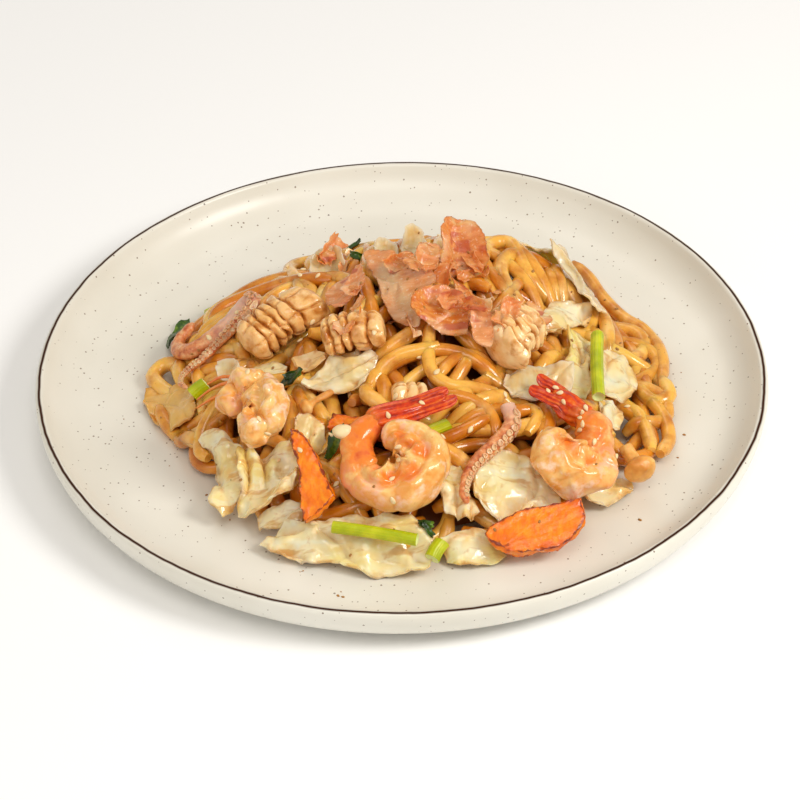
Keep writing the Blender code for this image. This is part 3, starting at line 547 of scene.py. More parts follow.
CORE_BELOW = 8.0        # how far the core lies below the mound
CORE_LOWEST = FLOOR + 0.3
GIVE = 0.8              # how far a noodle may sink below what carries it as it is smoothed
LAST_ROUNDS = 6         # smoothing once more when it lies
DIVE = 0.9              # the steepest slope at which a noodle goes under a topping

core_map = np.maximum(mound_map - CORE_BELOW, CORE_LOWEST)
top_map = core_map.copy()
roof_map = spread(under_map, NOODLE_RADIUS, np.minimum)
room_map = roof_map - core_map        # what is left between the heap and a topping
sixths = np.arange(0, 2 * math.pi, math.pi / 3)
disc = [(r * math.cos(a), r * math.sin(a)) for r in (0.0, 1.1, 2.2) for a in sixths]


def smooth_line(points, step):
    """Evenly spaced points on a smooth curve through the given ones, as an array."""
    points = [np.array(p, float) for p in points]
    dense = []
    for k, (start, end) in enumerate(zip(points, points[1:])):
        before = points[k - 1] if k else 2 * start - end
        after = points[k + 2] if k + 2 < len(points) else 2 * end - start
        for t in np.arange(0, 1, 1 / 16):
            square = 2 * before - 5 * start + 4 * end - after
            cube = 3 * start - before - 3 * end + after
            dense.append(0.5 * (2 * start + (end - before) * t + square * t ** 2 + cube * t ** 3))
    dense = np.array(dense + [points[-1]])
    lengths = np.concatenate([[0], np.cumsum(np.linalg.norm(np.diff(dense, axis=0), axis=1))])
    wanted = np.linspace(0, lengths[-1], max(3, round(lengths[-1] / step) + 1))
    return np.stack([np.interp(wanted, lengths, dense[:, n]) for n in range(dense.shape[1])], axis=1)


def add_line(curve, line):
    """Adds a line of points in mm to a curve, and gives back the curve's own points."""
    spline = curve.splines.new("POLY")
    spline.points.add(len(line) - 1)
    for point, place in zip(spline.points, line):
        point.co = (*[c * MM for c in place], 1)
    return spline.points


def drape(plan, radius, lift=0.0):
    """The heights of a noodle's middle over its plan."""
    x, y = plan[:, 0], plan[:, 1]
    ground = np.max([sample(top_map, x + dx, y + dy) for dx, dy in disc], axis=0) + radius - SINK
    ground = np.minimum(ground, sample(mound_map, x, y) + HIGHEST)
    roof = soften_down(sample(roof_map, x, y) - radius - UNDER_TOPPING)
    height = ground.copy()
    for _ in range(STIFF):
        eased = height.copy()
        eased[1:-1] = (height[:-2] + 2 * height[1:-1] + height[2:]) / 4
        height = np.minimum(np.maximum(eased, ground - GIVE), roof)
    for _ in range(LAST_ROUNDS):
        height[1:-1] = (height[:-2] + 2 * height[1:-1] + height[2:]) / 4
    return np.maximum(np.minimum(height + lift, roof), FLOOR + 0.2 + radius)


def soften_down(limit):
    """Lowers a limit along a line so that it never changes faster than a noodle can dive."""
    limit = limit.copy()
    for k in range(1, len(limit)):
        limit[k] = min(limit[k], limit[k - 1] + DIVE * NOODLE_STEP)
    for k in range(len(limit) - 2, -1, -1):
        limit[k] = min(limit[k], limit[k + 1] + DIVE * NOODLE_STEP)
    return limit


def lay(plan, radius, lift=0.0):
    """Lays a noodle: finds its heights and raises the map under the next ones."""
    heights = drape(plan, radius, lift)
    for x, y, z in zip(plan[:, 0], plan[:, 1], heights):
        for i in cells(x - radius, x + radius):
            for j in cells(y - radius, y + radius):
                across = math.hypot(i * CELL - REACH - x, j * CELL - REACH - y)
                if across < radius:
                    top_map[i, j] = max(top_map[i, j], z + math.sqrt(radius ** 2 - across ** 2))
    return np.column_stack([plan, heights])


def from_middle(angle, out):
    """The place at an angle and a distance from the heap's middle."""
    return HEAP.x + out * math.cos(angle), HEAP.y + out * math.sin(angle)


def out_at(x, y):
    """How far a place is from the heap's middle."""
    return math.hypot(x - HEAP.x, y - HEAP.y)


def edge_at(x, y):
    """How far the heap reaches from its middle in the direction of a place."""
    angle = math.degrees(math.atan2(y - HEAP.y, x - HEAP.x)) % 360
    return float(np.interp(angle, EDGE_ANGLES, EDGE_REACH))


BEND_FIRST = 0.04       # bends are in radians for each mm
BEND_CHANGE = 0.009
BEND_KEPT = 0.97        # the share of its bend that a noodle keeps from step to step
TIGHTEST = 0.075
TURN_BACK = 0.095       # the tightest bend at the heap's edge
EDGE_ROOM = 7           # how far from the edge a noodle begins to turn back, in mm


def walk(draw, length, sector=(0, 2 * math.pi), inner=0.0):
    """A noodle's plan: a walk with a slowly changing bend that turns back at the heap's edge. It
    starts between the two angles of the sector, no nearer to the middle than a share of the way."""
    angle = draw.uniform(*sector)
    reach = edge_at(*from_middle(angle, 1))
    x, y = from_middle(angle, reach * max(inner, math.sqrt(draw.random())))
    heading, bend = draw.uniform(0, 2 * math.pi), draw.uniform(-BEND_FIRST, BEND_FIRST)
    plan = []
    for _ in range(int(length / NOODLE_STEP)):
        plan.append((x, y))
        x += NOODLE_STEP * math.cos(heading)
        y += NOODLE_STEP * math.sin(heading)
        bend = BEND_KEPT * bend + draw.uniform(-BEND_CHANGE, BEND_CHANGE)
        bend = min(TIGHTEST, max(-TIGHTEST, bend))
        near = out_at(x, y) - edge_at(x, y) + EDGE_ROOM
        if near > 0:
            outward = math.atan2(y - HEAP.y, x - HEAP.x)
            if math.cos(heading - outward) > -0.2:
                bend = math.copysign(min(TURN_BACK, 0.03 + 0.012 * near), math.sin(heading - outward))
        heading += bend * NOODLE_STEP
    return np.array(plan)


# %% Noodles by rule
NOODLES = 70
LENGTHS = (70, 190)                                     # the shortest and the longest, in mm
FAR_SIDE = (math.radians(35), math.radians(150))
FAR_NOODLES = 16
FAR_LENGTHS = (55, 120)
FAR_INNER = 0.8         # how near to the heap's middle those begin, as a share of the way
THICKNESS = (0.88, 1.04)
DRAWS = 60              # drafts of each noodle, of which the best is laid
COVERED = 3             # how far a noodle covers the heap on each side, in mm
cover = np.zeros((CELLS, CELLS))
laid = []


BLOCKED, HIDDEN, OUTSIDE = -2.5, 0.4, -2.0      # the worth of places where a free one has 1


def bareness(plan):
    """How bare the heap is along a plan; what a topping hides counts for little."""
    thin = np.exp(-sample(cover, plan[:, 0], plan[:, 1]) * 0.9)
    hidden = sample(under_map, plan[:, 0], plan[:, 1]) < FAR_UP / 2
    blocked = sample(room_map, plan[:, 0], plan[:, 1]) < 2 * NOODLE_RADIUS + 0.8
    piled = np.maximum(0, sample(top_map - mound_map, plan[:, 0], plan[:, 1]) - 1.5)
    worth = np.where(blocked, BLOCKED, np.where(hidden, HIDDEN, 1.0) * thin - 0.12 * piled)
    outside = np.hypot(plan[:, 0] - HEAP.x, plan[:, 1] - HEAP.y) > [edge_at(x, y) + 2 for x, y in plan]
    return float(np.sum(np.where(outside, OUTSIDE, worth))) / len(plan)


def lay_by_rule(count, draw, lengths, *where):
    """Lays noodles one by one, each the draft that covers the barest part of the heap."""
    for _ in range(count):
        drafts = [walk(draw, draw.uniform(*lengths), *where) for _ in range(DRAWS)]
        plan = max(drafts, key=bareness)
        laid.append(lay(plan, NOODLE_RADIUS * draw.uniform(*THICKNESS)))
        for x, y in plan:
            for i in cells(x - COVERED, x + COVERED):
                for j in cells(y - COVERED, y + COVERED):
                    cover[i, j] += NOODLE_STEP / (2 * COVERED)


lay_by_rule(NOODLES, random.Random(11), LENGTHS)
# The picture doesn't show the far side, and few of those end up there, so it gets its own.
lay_by_rule(FAR_NOODLES, random.Random(23), FAR_LENGTHS, FAR_SIDE, FAR_INNER)
print("noodles laid by rule:", len(laid), "metres:", round(sum(len(n) for n in laid) * NOODLE_STEP / 1000, 1))

# %% [markdown]
# These are the noodles that the picture shows lying free on top: the coils at the left edge, the
# loops in the middle and the long strands that run round the right side.

# %% Noodles given one by one
SHAPED = (        # plan points in mm, and how far the noodle stands over what carries it
    ([(-86, 24), (-78, 37), (-68, 45), (-56, 49), (-40, 47), (-22, 43)], 0),
    ([(-74, 30), (-68, 37), (-52, 40), (-38, 38), (-26, 31)], 0),
    ([(-72, 8), (-84, 12), (-92, 14), (-96, 8), (-88, -2), (-73, -8)], 0),
    ([(-66, -29), (-80, -25), (-84, -30), (-76, -37), (-66, -36)], 0),
    ([(-93, -10), (-88, -23), (-79, -33), (-67, -37)], 0),
    ([(-84, -27), (-79, -37), (-71, -45), (-62, -49)], 0),
    ([(14, -18), (8, -20), (-1, -22), (-10, -29), (-13, -39), (-6, -47)], 0.5),
    ([(11, -8), (10, -22), (12, -31), (18, -36), (26, -36), (36, -37), (45, -40), (50, -46), (46, -55)], 0),
    ([(14, -32), (18, -25), (24, -20), (31, -20), (37, -26), (38, -36)], 0.5),
    ([(16, -40), (27, -43), (33, -49), (35, -58)], 0),
    ([(4, -52), (9, -56), (16, -58), (23, -56), (32, -50)], 0),
    ([(51, -34), (54, -48), (50, -60)], 0),
    ([(31, 30), (33, 42), (37, 49), (43, 49), (46, 41), (49, 32), (55, 26), (66, 24)], 0),
    ([(56, 56), (65, 60), (74, 50), (80, 38), (87, 23), (92, 8), (94, -8)], 0),
    ([(70, 79), (76, 69), (81, 55), (88, 42), (95, 35), (99, 26), (101, 11), (100, -2)], 0),
    ([(90, 8), (91, -6), (96, -15), (102, -11), (100, -1)], 0),
    ([(80, -12), (88, -22), (92, -34), (93, -44)], 0),
    ([(94, -12), (99, -24), (100, -36), (96, -46)], 0),
)
shaped = [lay(smooth_line(points, NOODLE_STEP), NOODLE_RADIUS, lift) for points, lift in SHAPED]

# %% Noodles become a mesh
def noodle_mesh(name, lines, radius, draw):
    """One mesh of many noodles, each a bevelled curve with its own tone and thickness, thinner at its ends.
    """
    curve = bpy.data.curves.new(name, "CURVE")
    curve.dimensions = "3D"
    curve.bevel_depth = radius * MM
    curve.bevel_resolution = 3
    tones = []
    for line in lines:
        tone = draw.random()
        wobble = draw.uniform(0, 50)
        size = draw.uniform(0.86, 1.08)
        for k, point in enumerate(add_line(curve, line)):
            end = min(k, len(line) - 1 - k)
            uneven = 0.13 * wave(k * 0.12, wobble, 0)
            point.radius = (size + uneven) * min(1, 0.62 + 0.2 * end)
        tones += [tone] * len(line)
    take(new_piece(name, curve))
    bpy.ops.object.convert(target="MESH")
    piece = bpy.context.object
    around = len(piece.data.vertices) // len(tones)
    paint(piece, "tone", np.repeat(tones, around))
    edit(piece)
    bpy.ops.mesh.fill_holes(sides=0)
    calm()
    return piece


upper_map = soften(spread(top_map, 4.0, np.maximum), 6)


LIT_RIM = 18            # the heap's skin is open to the light this far from its edge, in mm
LIT_LEAST = 0.2


def shade_by_depth(piece):
    """Keeps how deep each vertex lies under the heap's skin, where sauce gathers and light fails."""
    points = positions(piece)
    depth = sample(upper_map, points[:, 0], points[:, 1]) - points[:, 2]
    inward = np.array([edge_at(x, y) - out_at(x, y) for x, y, _ in points])
    paint(piece, "depth", depth * np.clip(inward / LIT_RIM, LIT_LEAST, 1.0))


heap_noodles = noodle_mesh("udon_heap", laid, NOODLE_RADIUS, random.Random(3))
free_noodles = noodle_mesh("udon_on_top", shaped, NOODLE_RADIUS, random.Random(5))
for piece in (heap_noodles, free_noodles):
    shade_by_depth(piece)
    print(piece.name, "triangles:", triangles(piece))

# %% [markdown]
# Boiled wheat dough is pale and lets light in; the frying sauce stains it from gold to brown in patches
# of a few millimetres, and leaves a wet film. Low down between the noodles it turns deep brown by the
# depth kept on the mesh: sauce that gathers there, and painted shade where the light fails.

# %% Sauced noodle
udon, shader = finish("sauced_wheat_noodle", 0.2, Subsurface_Weight=0.3, Subsurface_Scale=0.004,
                      Coat_Weight=0.35, Coat_Roughness=0.06, Subsurface_Radius=(1.0, 0.5, 0.12))
tone = kept("tone")
depth = kept("depth")
dough = blend(tone, "F7BF54", "DC881A")
dough = blend(ease(grain(12, detail=2), 0.52, 0.68, 0.0, 0.5), dough, "FCD68A")
stain = ease(plus(grain(9, detail=4), times(tone, 0.1)), 0.46, 0.72)
dough = coat(dough, "BC660C", stain, 0.85)
# Painted shade with gathered sauce: the deeper a place lies under the heap's skin, the darker brown.
sauce_and_painted_shade = ease(depth, 3.0, 12.0, 0.0, 0.9)
dough = blend(sauce_and_painted_shade, dough, "984A06")
flecks = ease(grain(1.5, detail=2), 0.7, 0.74)
dough = coat(dough, "A85E16", flecks, 0.5)
dye(shader, dough)
emboss(shader, grain(2.2, detail=3), 0.12)
serve(heap_noodles, udon, "udon_noodle", "noodles")
serve(free_noodles, udon, "udon_noodle", "noodles")

# %% The core under the noodles
CORE_REACH = 71.0        # where the core, sunk below the mound, comes down to the plate
CORE_RINGS = 22
CORE_STEP = 0.86         # the size of each ring of the core in that of the one outside it
CORE_DROP = 7.0          # how much further down its edge lies, in mm
bpy.ops.mesh.primitive_circle_add(vertices=72, radius=CORE_REACH * MM, fill_type="NOTHING",
                                  location=HEAP * MM)
core = named("heap_core")
edit(core, "EDGE")
for _ in range(CORE_RINGS):
    bpy.ops.mesh.extrude_region_move()
    bpy.ops.transform.resize(value=(CORE_STEP, CORE_STEP, 1), center_override=HEAP * MM)
bpy.ops.mesh.edge_face_add()
bpy.ops.mesh.select_all(action="SELECT")
bpy.ops.mesh.normals_make_consistent(inside=False)
take(core)
settle()
points = positions(core)
out = np.hypot(points[:, 0] - HEAP.x, points[:, 1] - HEAP.y) / CORE_REACH
sunk = sample(core_map, points[:, 0], points[:, 1]) - CORE_DROP * out ** 5
points[:, 2] = np.maximum(sunk, CORE_LOWEST)
move_to(core, points)
# The core is dark brown: sauce, and painted shade for the noodles deep in the heap.
bedding, shader = finish("noodles_deep_in_sauce", 0.4)
dye(shader, "7E4208")
serve(core, bedding, "udon_noodle", "noodles")

# %% [markdown]
# ## Leaves
#
# Stir-fried cabbage is limp and thin. Each piece keeps its main bend, folds over itself in long
# pleats, and curls finely along its cut edge, where it has drawn in sauce. The main bend is in the
# CAD solids, so a leaf starts as a copy of its solid. Its cut edge is creased, so that it keeps its
# corners while the rest is rounded. Then it is subdivided, thinned, pleated, and pushed about by
# cloud textures, most of all near its edge. Both faces of the leaf always move together.

# %% A detailed copy of a thin solid
def copy_of(node):
    """A copy of a CAD node whose loose triangles are merged, free of the frame's marks."""
    piece = new_piece(node + "_piece", nodes[node].data.copy())
    piece.data.materials.clear()
    edit(piece)
    bpy.ops.mesh.customdata_custom_splitnormals_clear()
    bpy.ops.mesh.remove_doubles(threshold=0.00001)
    bpy.ops.mesh.mark_sharp(clear=True)
    calm()
    return piece


CUT_ANGLE = math.radians(55)        # faces that meet at more than this meet on the cut edge


def crease_cut_edge(piece, amount):
    """Creases the cut edge of a thin solid; the crease also marks that edge after dividing it."""
    faces_at = {}
    for face in piece.data.polygons:
        for key in face.edge_keys:
            faces_at.setdefault(key, []).append(face.normal.copy())

    def is_cut(edge):
        normals = faces_at.get(edge.key, ())
        return len(normals) == 2 and normals[0].angle(normals[1], 0) > CUT_ANGLE

    pick_out(piece, "EDGE", is_cut)
    bpy.ops.transform.edge_crease(value=amount)
    calm()


def measure_edge(piece, reach):
    """Keeps how near each vertex is to the cut edge: 1 on it, a third of that at `reach` mm."""
    points = positions(piece)
    crease = np.zeros(len(piece.data.edges), np.float32)
    piece.data.attributes["crease_edge"].data.foreach_get("value", crease)
    ends = np.zeros(2 * len(crease), np.int32)
    piece.data.edges.foreach_get("vertices", ends)
    cut = np.unique(ends.reshape(-1, 2)[crease > 0.05])
    finder = KDTree(len(cut))
    for place in points[cut]:
        finder.insert(place, 0)
    finder.balance()
    near = np.exp(-np.array([finder.find(place)[2] for place in points]) / reach)
    paint(piece, "edge", near)
    group = piece.vertex_groups.new(name="edge")
    for index, weight in enumerate(near):
        group.add([index], float(weight), "REPLACE")
    frayed = piece.vertex_groups.new(name="frayed")
    frayed.add([int(k) for k in cut], 1.0, "REPLACE")
    return len(cut) / len(points)


def push(piece, size_mm, strength_mm, seed, detail=2, group=""):
    """Moves a piece by a cloud texture, the same way on both of its faces."""
    texture = bpy.data.textures.new(f"{piece.name}_{size_mm}", "CLOUDS")
    texture.noise_scale = size_mm * MM
    texture.noise_depth = detail
    texture.cloud_type = "COLOR"
    bpy.ops.object.empty_add(location=(seed * 0.37, seed * 0.11, seed * 0.23))
    shift = bpy.context.object
    modify(piece, "DISPLACE", texture=texture, texture_coords="OBJECT", texture_coords_object=shift,
           direction="RGB_TO_XYZ", strength=strength_mm * MM, mid_level=0.5, vertex_group=group)
    bpy.data.objects.remove(shift)


def pleat(piece, heading, width, height, seed):
    """Folds a piece in long pleats with sharp valleys, which wander and fade as real ones do, and
    keeps how deep in the folds each vertex lies, for a painted shade there."""
    points = positions(piece)
    across = Vector((-math.sin(math.radians(heading)), math.cos(math.radians(heading)), 0))
    lift = np.zeros(len(points))
    valley = np.zeros(len(points))
    for k, point in enumerate(points):
        place = Vector(point)
        wander = wave(point[0] / 17, point[1] / 17, seed * 3.1)
        turns = place.dot(across) / width + 1.1 * wander
        fade = 0.5 + 0.9 * wave(point[0] / 12, point[1] / 12, seed * 5.7 + 4)
        ridge = abs(math.sin(math.pi * turns)) ** 0.8
        lift[k] = height * max(0.0, fade) * (ridge - 0.6)
        valley[k] = max(0.0, fade) * (1 - ridge) ** 1.5
    points[:, 2] += lift
    move_to(piece, points)
    paint(piece, "valley", valley)


FRAY_SIZE = 1.3         # size of the ravels of a cut edge, in mm


def crumple(node, cuts=4, ruffle=6.0, ruffle_size=17.0, curl=4.2, curl_size=9.0, fine=0.3, fine_size=4.0,
            frayed=0.4, thin=0.2, folds=None, edge_reach=4.0, crease=0.8, seed=1):
    """A leaf, petal or flake: a finely divided copy of its solid, pleated, ruffled and frayed."""
    piece = copy_of(node)
    crease_cut_edge(piece, crease)
    modify(piece, "SUBSURF", levels=1)
    edit(piece)
    bpy.ops.mesh.subdivide(number_cuts=cuts)
    calm()
    on_edge = measure_edge(piece, edge_reach)
    if thin:
        modify(piece, "DISPLACE", direction="NORMAL", mid_level=0.0, strength=-thin * MM)
    if folds:
        pleat(piece, *folds, seed)
    push(piece, ruffle_size, ruffle, seed)
    push(piece, curl_size, curl, seed + 1, group="edge")
    push(piece, fine_size, fine, seed + 2, detail=3)
    push(piece, FRAY_SIZE, frayed, seed + 3, group="frayed")
    print(node, "share of vertices on the cut edge:", round(on_edge, 2))
    return piece


# %% [markdown]
# Cooked cabbage is half clear: cream where it is thick, honey-coloured where the noodles shine
# through, yellow-green near the outer leaf, with whiter ribs and a tan line on the cut edge. Light
# goes into it by subsurface scattering, and its ribs are long stretched noise.

# %% Cabbage
leaf_flesh, shader = finish("fried_cabbage_leaf", 0.17, ior=1.42, Subsurface_Weight=0.5,
                            Subsurface_Scale=0.003, Coat_Weight=0.35, Coat_Roughness=0.06,
                            Subsurface_Radius=(1.0, 0.7, 0.35))
edge = kept("edge")
tone = kept("tone")
pale = blend(ease(grain(14, detail=2), 0.38, 0.62), "FFEDC4", "FFD996")
green = times(ease(grain(19, detail=2), 0.46, 0.62), ease(tone, 0.2, 1.0))
pale = coat(pale, "EFDB70", green, 0.75)
ribs = ease(grain(4.5, detail=2, stretch=(0.3, 1.2, 0.5), distortion=0.5), 0.54, 0.7)
pale = coat(pale, "FFF4D2", ribs, 0.6)
honey = ease(grain(11, detail=3), 0.52, 0.7)
pale = coat(pale, "F4B654", honey, 0.55)
sauce = ease(grain(6, detail=4), 0.6, 0.74)
pale = coat(pale, "CC7C18", sauce, 0.65)
streak = ease(grain(5, detail=3, stretch=(0.3, 1.3, 0.6), distortion=0.3), 0.58, 0.67)
pale = coat(pale, "C88426", streak, 0.6)
# Painted shade: a tan in the valleys of the pleats, where the folds lie in shade.
valley = kept("valley")
valley = times(ease(valley, 0.1, 0.9), ease(grain(9), 0.35, 0.6))
pale = coat(pale, "E0922E", valley, 0.85)
pale = blend(ease(tone, 0.0, -1.0, 0.0, 0.8), pale, "F2AE48")
line = times(ease(edge, 0.62, 1.0), ease(grain(7), 0.42, 0.58))
pale = coat(pale, "B8741C", line, 0.75)
dye(shader, pale)
emboss(shader, grain(3.0, detail=2, stretch=(0.4, 1.0, 0.7)), 0.06)

CABBAGE = {          # node: ruffle; the pleats' heading, width and height; how green, or below 0 how soaked
    "cabbage_front": (6.0, (-24, 9, 4.2), 0.5),
    "cabbage_front_right": (4.0, (10, 11, 1.6), 0.8),
    "cabbage_left_lower": (6.0, (20, 8, 2.6), 0.1),
    "cabbage_far_left": (7.0, (-62, 8, 3.4), 0.3),
    "cabbage_left": (8.0, (72, 9, 5.0), 0.6),
    "cabbage_left_fold": (7.0, (60, 7, 4.0), 0.5),
    "cabbage_middle": (6.0, (28, 7, 3.4), 0.2),
    "cabbage_fold": (6.0, (82, 6, 4.0), 1.0),
    "cabbage_right": (6.0, (65, 9, 3.4), 0.4),
    "cabbage_under_right": (6.0, (20, 8, 2.4), 0.3),
    "cabbage_right_edge": (5.0, (75, 7, 2.6), 0.2),
    "cabbage_right_white": (5.0, (80, 6, 2.4), 0.0),
    "cabbage_wavy": (6.0, (30, 7, 3.4), 0.2),
    "cabbage_clear": (5.0, (85, 8, 2.4), 1.0),
    "cabbage_back": (7.0, (40, 7, 3.4), 0.6),
    "cabbage_edge": (4.0, (-60, 7, 1.4), -0.5),
    "cabbage_strip": (3.0, (0, 6, 1.2), 1.0),
    "cabbage_far_edge": (4.0, (-50, 6, 2.0), -1.0)}
for number, (node, (ruffle, folds, greenness)) in enumerate(CABBAGE.items()):
    leaf = crumple(node, ruffle=ruffle, folds=folds, seed=number)
    paint(leaf, "tone", greenness)
    serve(leaf, leaf_flesh, "cabbage", node, smooth=80)
print("cabbage triangles on the last leaf:", triangles(leaf))

# %% [markdown]
# ## Onion
#
# Onion layers are thicker and smoother than leaves, nearly clear, and faintly lined lengthwise.

# %% Onion
onion_flesh, shader = finish("fried_onion_layer", 0.2, ior=1.4, Subsurface_Weight=0.6,
                             Subsurface_Scale=0.005, Coat_Weight=0.3, Coat_Roughness=0.1,
                             Subsurface_Radius=(1.0, 0.7, 0.4))
edge = kept("edge")
clear = blend(ease(grain(10, detail=2), 0.35, 0.65), "EFD09A", "D8A560")
lines = ease(grain(2.0, detail=1, stretch=(1.4, 0.2, 1.0)), 0.42, 0.65)
clear = coat(clear, "F0E0C4", lines, 0.2)
clear = coat(clear, "F3E7D0", ease(edge, 0.5, 1.0), 0.5)
dye(shader, clear)
for number, node in enumerate(["onion_square", "onion_clear", "onion_ring", "onion_back", "onion_top",
                               "onion_band"]):
    layer = crumple(node, ruffle=5.0, curl=4.0, fine=0.5, frayed=0.6, thin=0.1,
                    folds=(20 + 35 * number, 9, 1.6), seed=40 + number)
    serve(layer, onion_flesh, "onion", node, smooth=80)

# %% [markdown]
# ## Green leaves and stems
#
# The stems are cut lengths of a round green stalk: ridged along, glossy, and a little paler at
# the cut ends. The leaf bits beside them are nearly black where they are folded.

# %% Dark leaf bits
dark_leaf, shader = finish("wilted_green_leaf", 0.34, Coat_Weight=0.15)
shade = ramp(grain(6, detail=3), [(0.35, "1C2E06"), (0.58, "365A0C"), (0.72, "92B238")])
dye(shader, shade)
for number, node in enumerate(["dark_leaf_front", "dark_leaf_left", "green_leaf_edge"]):
    leaf = crumple(node, ruffle=4.0, curl=3.0, fine=1.2, folds=(60, 5, 1.4), seed=60 + number)
    serve(leaf, dark_leaf, "dark_greens", node)

# %% Green stems
stalk, shader = finish("fresh_green_stalk", 0.32, ior=1.42, Subsurface_Weight=0.15,
                       Subsurface_Scale=0.002, Coat_Weight=0.15, Coat_Roughness=0.12)
green = ramp(grain(9, detail=2), [(0.3, "96A400"), (0.52, "B4BE02"), (0.72, "D2D41E")])
streaks = ease(grain(1.2, detail=2), 0.5, 0.66)
green = coat(green, "DDE56A", streaks, 0.08)
cut_end = kept("cut_end")
green = blend(cut_end, green, "E2EAA0")
dye(shader, green)
emboss(shader, grain(1.0, detail=2), 0.08)


def ends_of(node):
    """The two ends of a long solid, in mm, from the spread of its vertices."""
    points = positions(nodes[node])
    middle = points.mean(0)
    _, _, axes = np.linalg.svd(points - middle, full_matrices=False)
    along = (points - middle) @ axes[0]
    return middle + axes[0] * along.min(), middle + axes[0] * along.max()


ROOM = 1.03                # how much larger than its solid's box a piece may stay


def drawn_in(points, node):
    """A piece's points in mm, put on the middle of its solid's box, and drawn in along each axis
    on which its ridges and bulges make it larger than its solid."""
    low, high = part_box(node)
    wanted = np.array((low + high) / 2) / MM
    middle = (points.max(0) + points.min(0)) / 2
    grown = np.ptp(points, axis=0) / (np.array(high - low) / MM)
    return wanted + (points - middle) / np.maximum(1, grown / ROOM)


STEM_GIRTH = 0.88                               # its radius in half the least size of its solid
STEM_BOW = 0.5                                  # mm
STEM_RINGS = (-0.42, -0.25, 0.0, 0.25, 0.42)    # where it is divided, as shares of its length


def stem_piece(node):
    """A ridged green stalk between the two ends of its solid, with dished cut ends."""
    start, end = ends_of(node)
    length = float(np.linalg.norm(end - start))
    girth = min(nodes[node].dimensions) / MM / 2 * STEM_GIRTH
    bpy.ops.mesh.primitive_cylinder_add(vertices=60, radius=girth * MM, depth=length * MM)
    piece = named(node + "_piece")
    pick_out(piece, "FACE", lambda face: abs(face.normal.z) > 0.9)
    for width, depth in ((0.1, 0), (0.25, -0.5), (0.3, -0.5)):
        bpy.ops.mesh.inset(thickness=girth * width * MM, depth=depth * MM)
    for share in STEM_RINGS:
        bpy.ops.mesh.select_all(action="SELECT")
        bpy.ops.mesh.bisect(plane_co=(0, 0, share * length * MM), plane_no=(0, 0, 1))
    calm()
    points = positions(piece)
    angle = np.arctan2(points[:, 1], points[:, 0])
    ridge = 1 + 0.03 * np.cos(14 * angle) + 0.03 * np.cos(3 * angle + 1)
    paint(piece, "cut_end", np.hypot(points[:, 0], points[:, 1]) < girth * 0.93)
    points[:, 0] = points[:, 0] * ridge + STEM_BOW * np.cos(points[:, 2] / length * math.pi)
    points[:, 1] *= ridge
    move_to(piece, points)
    way = Vector((end - start).tolist()).to_track_quat("Z", "Y").to_matrix().to_4x4()
    piece.matrix_world = Matrix.Translation(Vector(((start + end) / 2).tolist()) * MM) @ way
    take(piece)
    settle()
    move_to(piece, drawn_in(positions(piece), node))
    return piece


for place in ("front", "right", "middle", "front_stub", "left_stub", "back_stub"):
    serve(stem_piece("stem_" + place), stalk, "green_stem", "stem_" + place, smooth=40)

# %% [markdown]
# ## Carrot
#
# Slices of carrot, cut on the slant and fried until their edges char: bright orange flesh with the
# fibres showing, and a blistered dark red-brown rim, drawn where the kept nearness to the edge is
# high.

# %% Carrot slices
carrot_flesh, shader = finish("charred_carrot", 0.28, ior=1.42, Subsurface_Weight=0.2,
                              Subsurface_Scale=0.003, Coat_Weight=0.35, Coat_Roughness=0.15,
                              Subsurface_Radius=(1.0, 0.4, 0.1))
edge = kept("edge")
fibres = grain(3.0, detail=4, stretch=(1.2, 0.35, 1.0), distortion=0.4)
flesh = ramp(fibres, [(0.32, "EC6C00"), (0.5, "F78200"), (0.68, "FC9810")])
toasted = ease(plus(times(edge, 0.35), grain(6, detail=3)), 0.68, 0.86)
flesh = coat(flesh, "DC5A08", toasted, 0.75)
burnt = ease(plus(times(edge, 0.62), grain(3.5, detail=3)), 0.94, 1.08)
flesh = coat(flesh, "74200A", burnt, 0.9)
dye(shader, flesh)
emboss(shader, grain(1.2, detail=4), 0.3)
for number, node in enumerate(["carrot_left", "carrot_right", "carrot_middle"]):
    carrot = crumple(node, cuts=5, ruffle=3.0, curl=1.7, curl_size=3.2, fine=1.0, fine_size=2.0, frayed=0.8,
                     thin=0.0, edge_reach=1.6, crease=0.5, seed=70 + number)
    serve(carrot, carrot_flesh, "carrot", node, smooth=80)

# %% [markdown]
# ## Placing a curled piece
#
# Prawns, squid and tentacles are modelled straight, where their rings and stripes are easy, and
# then bent. A Curve modifier bends a piece along a curve through its spine, the turn and the
# slope of the heap lay it down, and it is moved until its box has the middle of its solid's box.

# %% Straight tubes, bends and places
LUMPS = (1.6, 17.0)        # height and size of the mound's lumps, which tilt what lies on them


def slope_at(x, y, reach=7.0):
    """The turn that lays a level piece along the heap's slope."""
    def height(px, py):
        inside = min(1, max(0, 4 - 4 * ((px - HEAP.x) ** 2 + (py - HEAP.y) ** 2) / HEAP_RADIUS ** 2))
        return float(mound(px, py)) + LUMPS[0] * 2 * inside * noise.noise(Vector((px, py, 0)) / LUMPS[1])

    rise_x = (height(x + reach, y) - height(x - reach, y)) / (2 * reach)
    rise_y = (height(x, y + reach) - height(x, y - reach)) / (2 * reach)
    return Vector((0, 0, 1)).rotation_difference(Vector((-rise_x, -rise_y, 1))).to_matrix().to_4x4()


PRAWN_GRID = (150, 64)     # rings along a straight piece and corners of each ring
BLADE_GRID = (44, 48)
ROLL_GRID = (110, 90)
ARM_GRID = (120, 20)


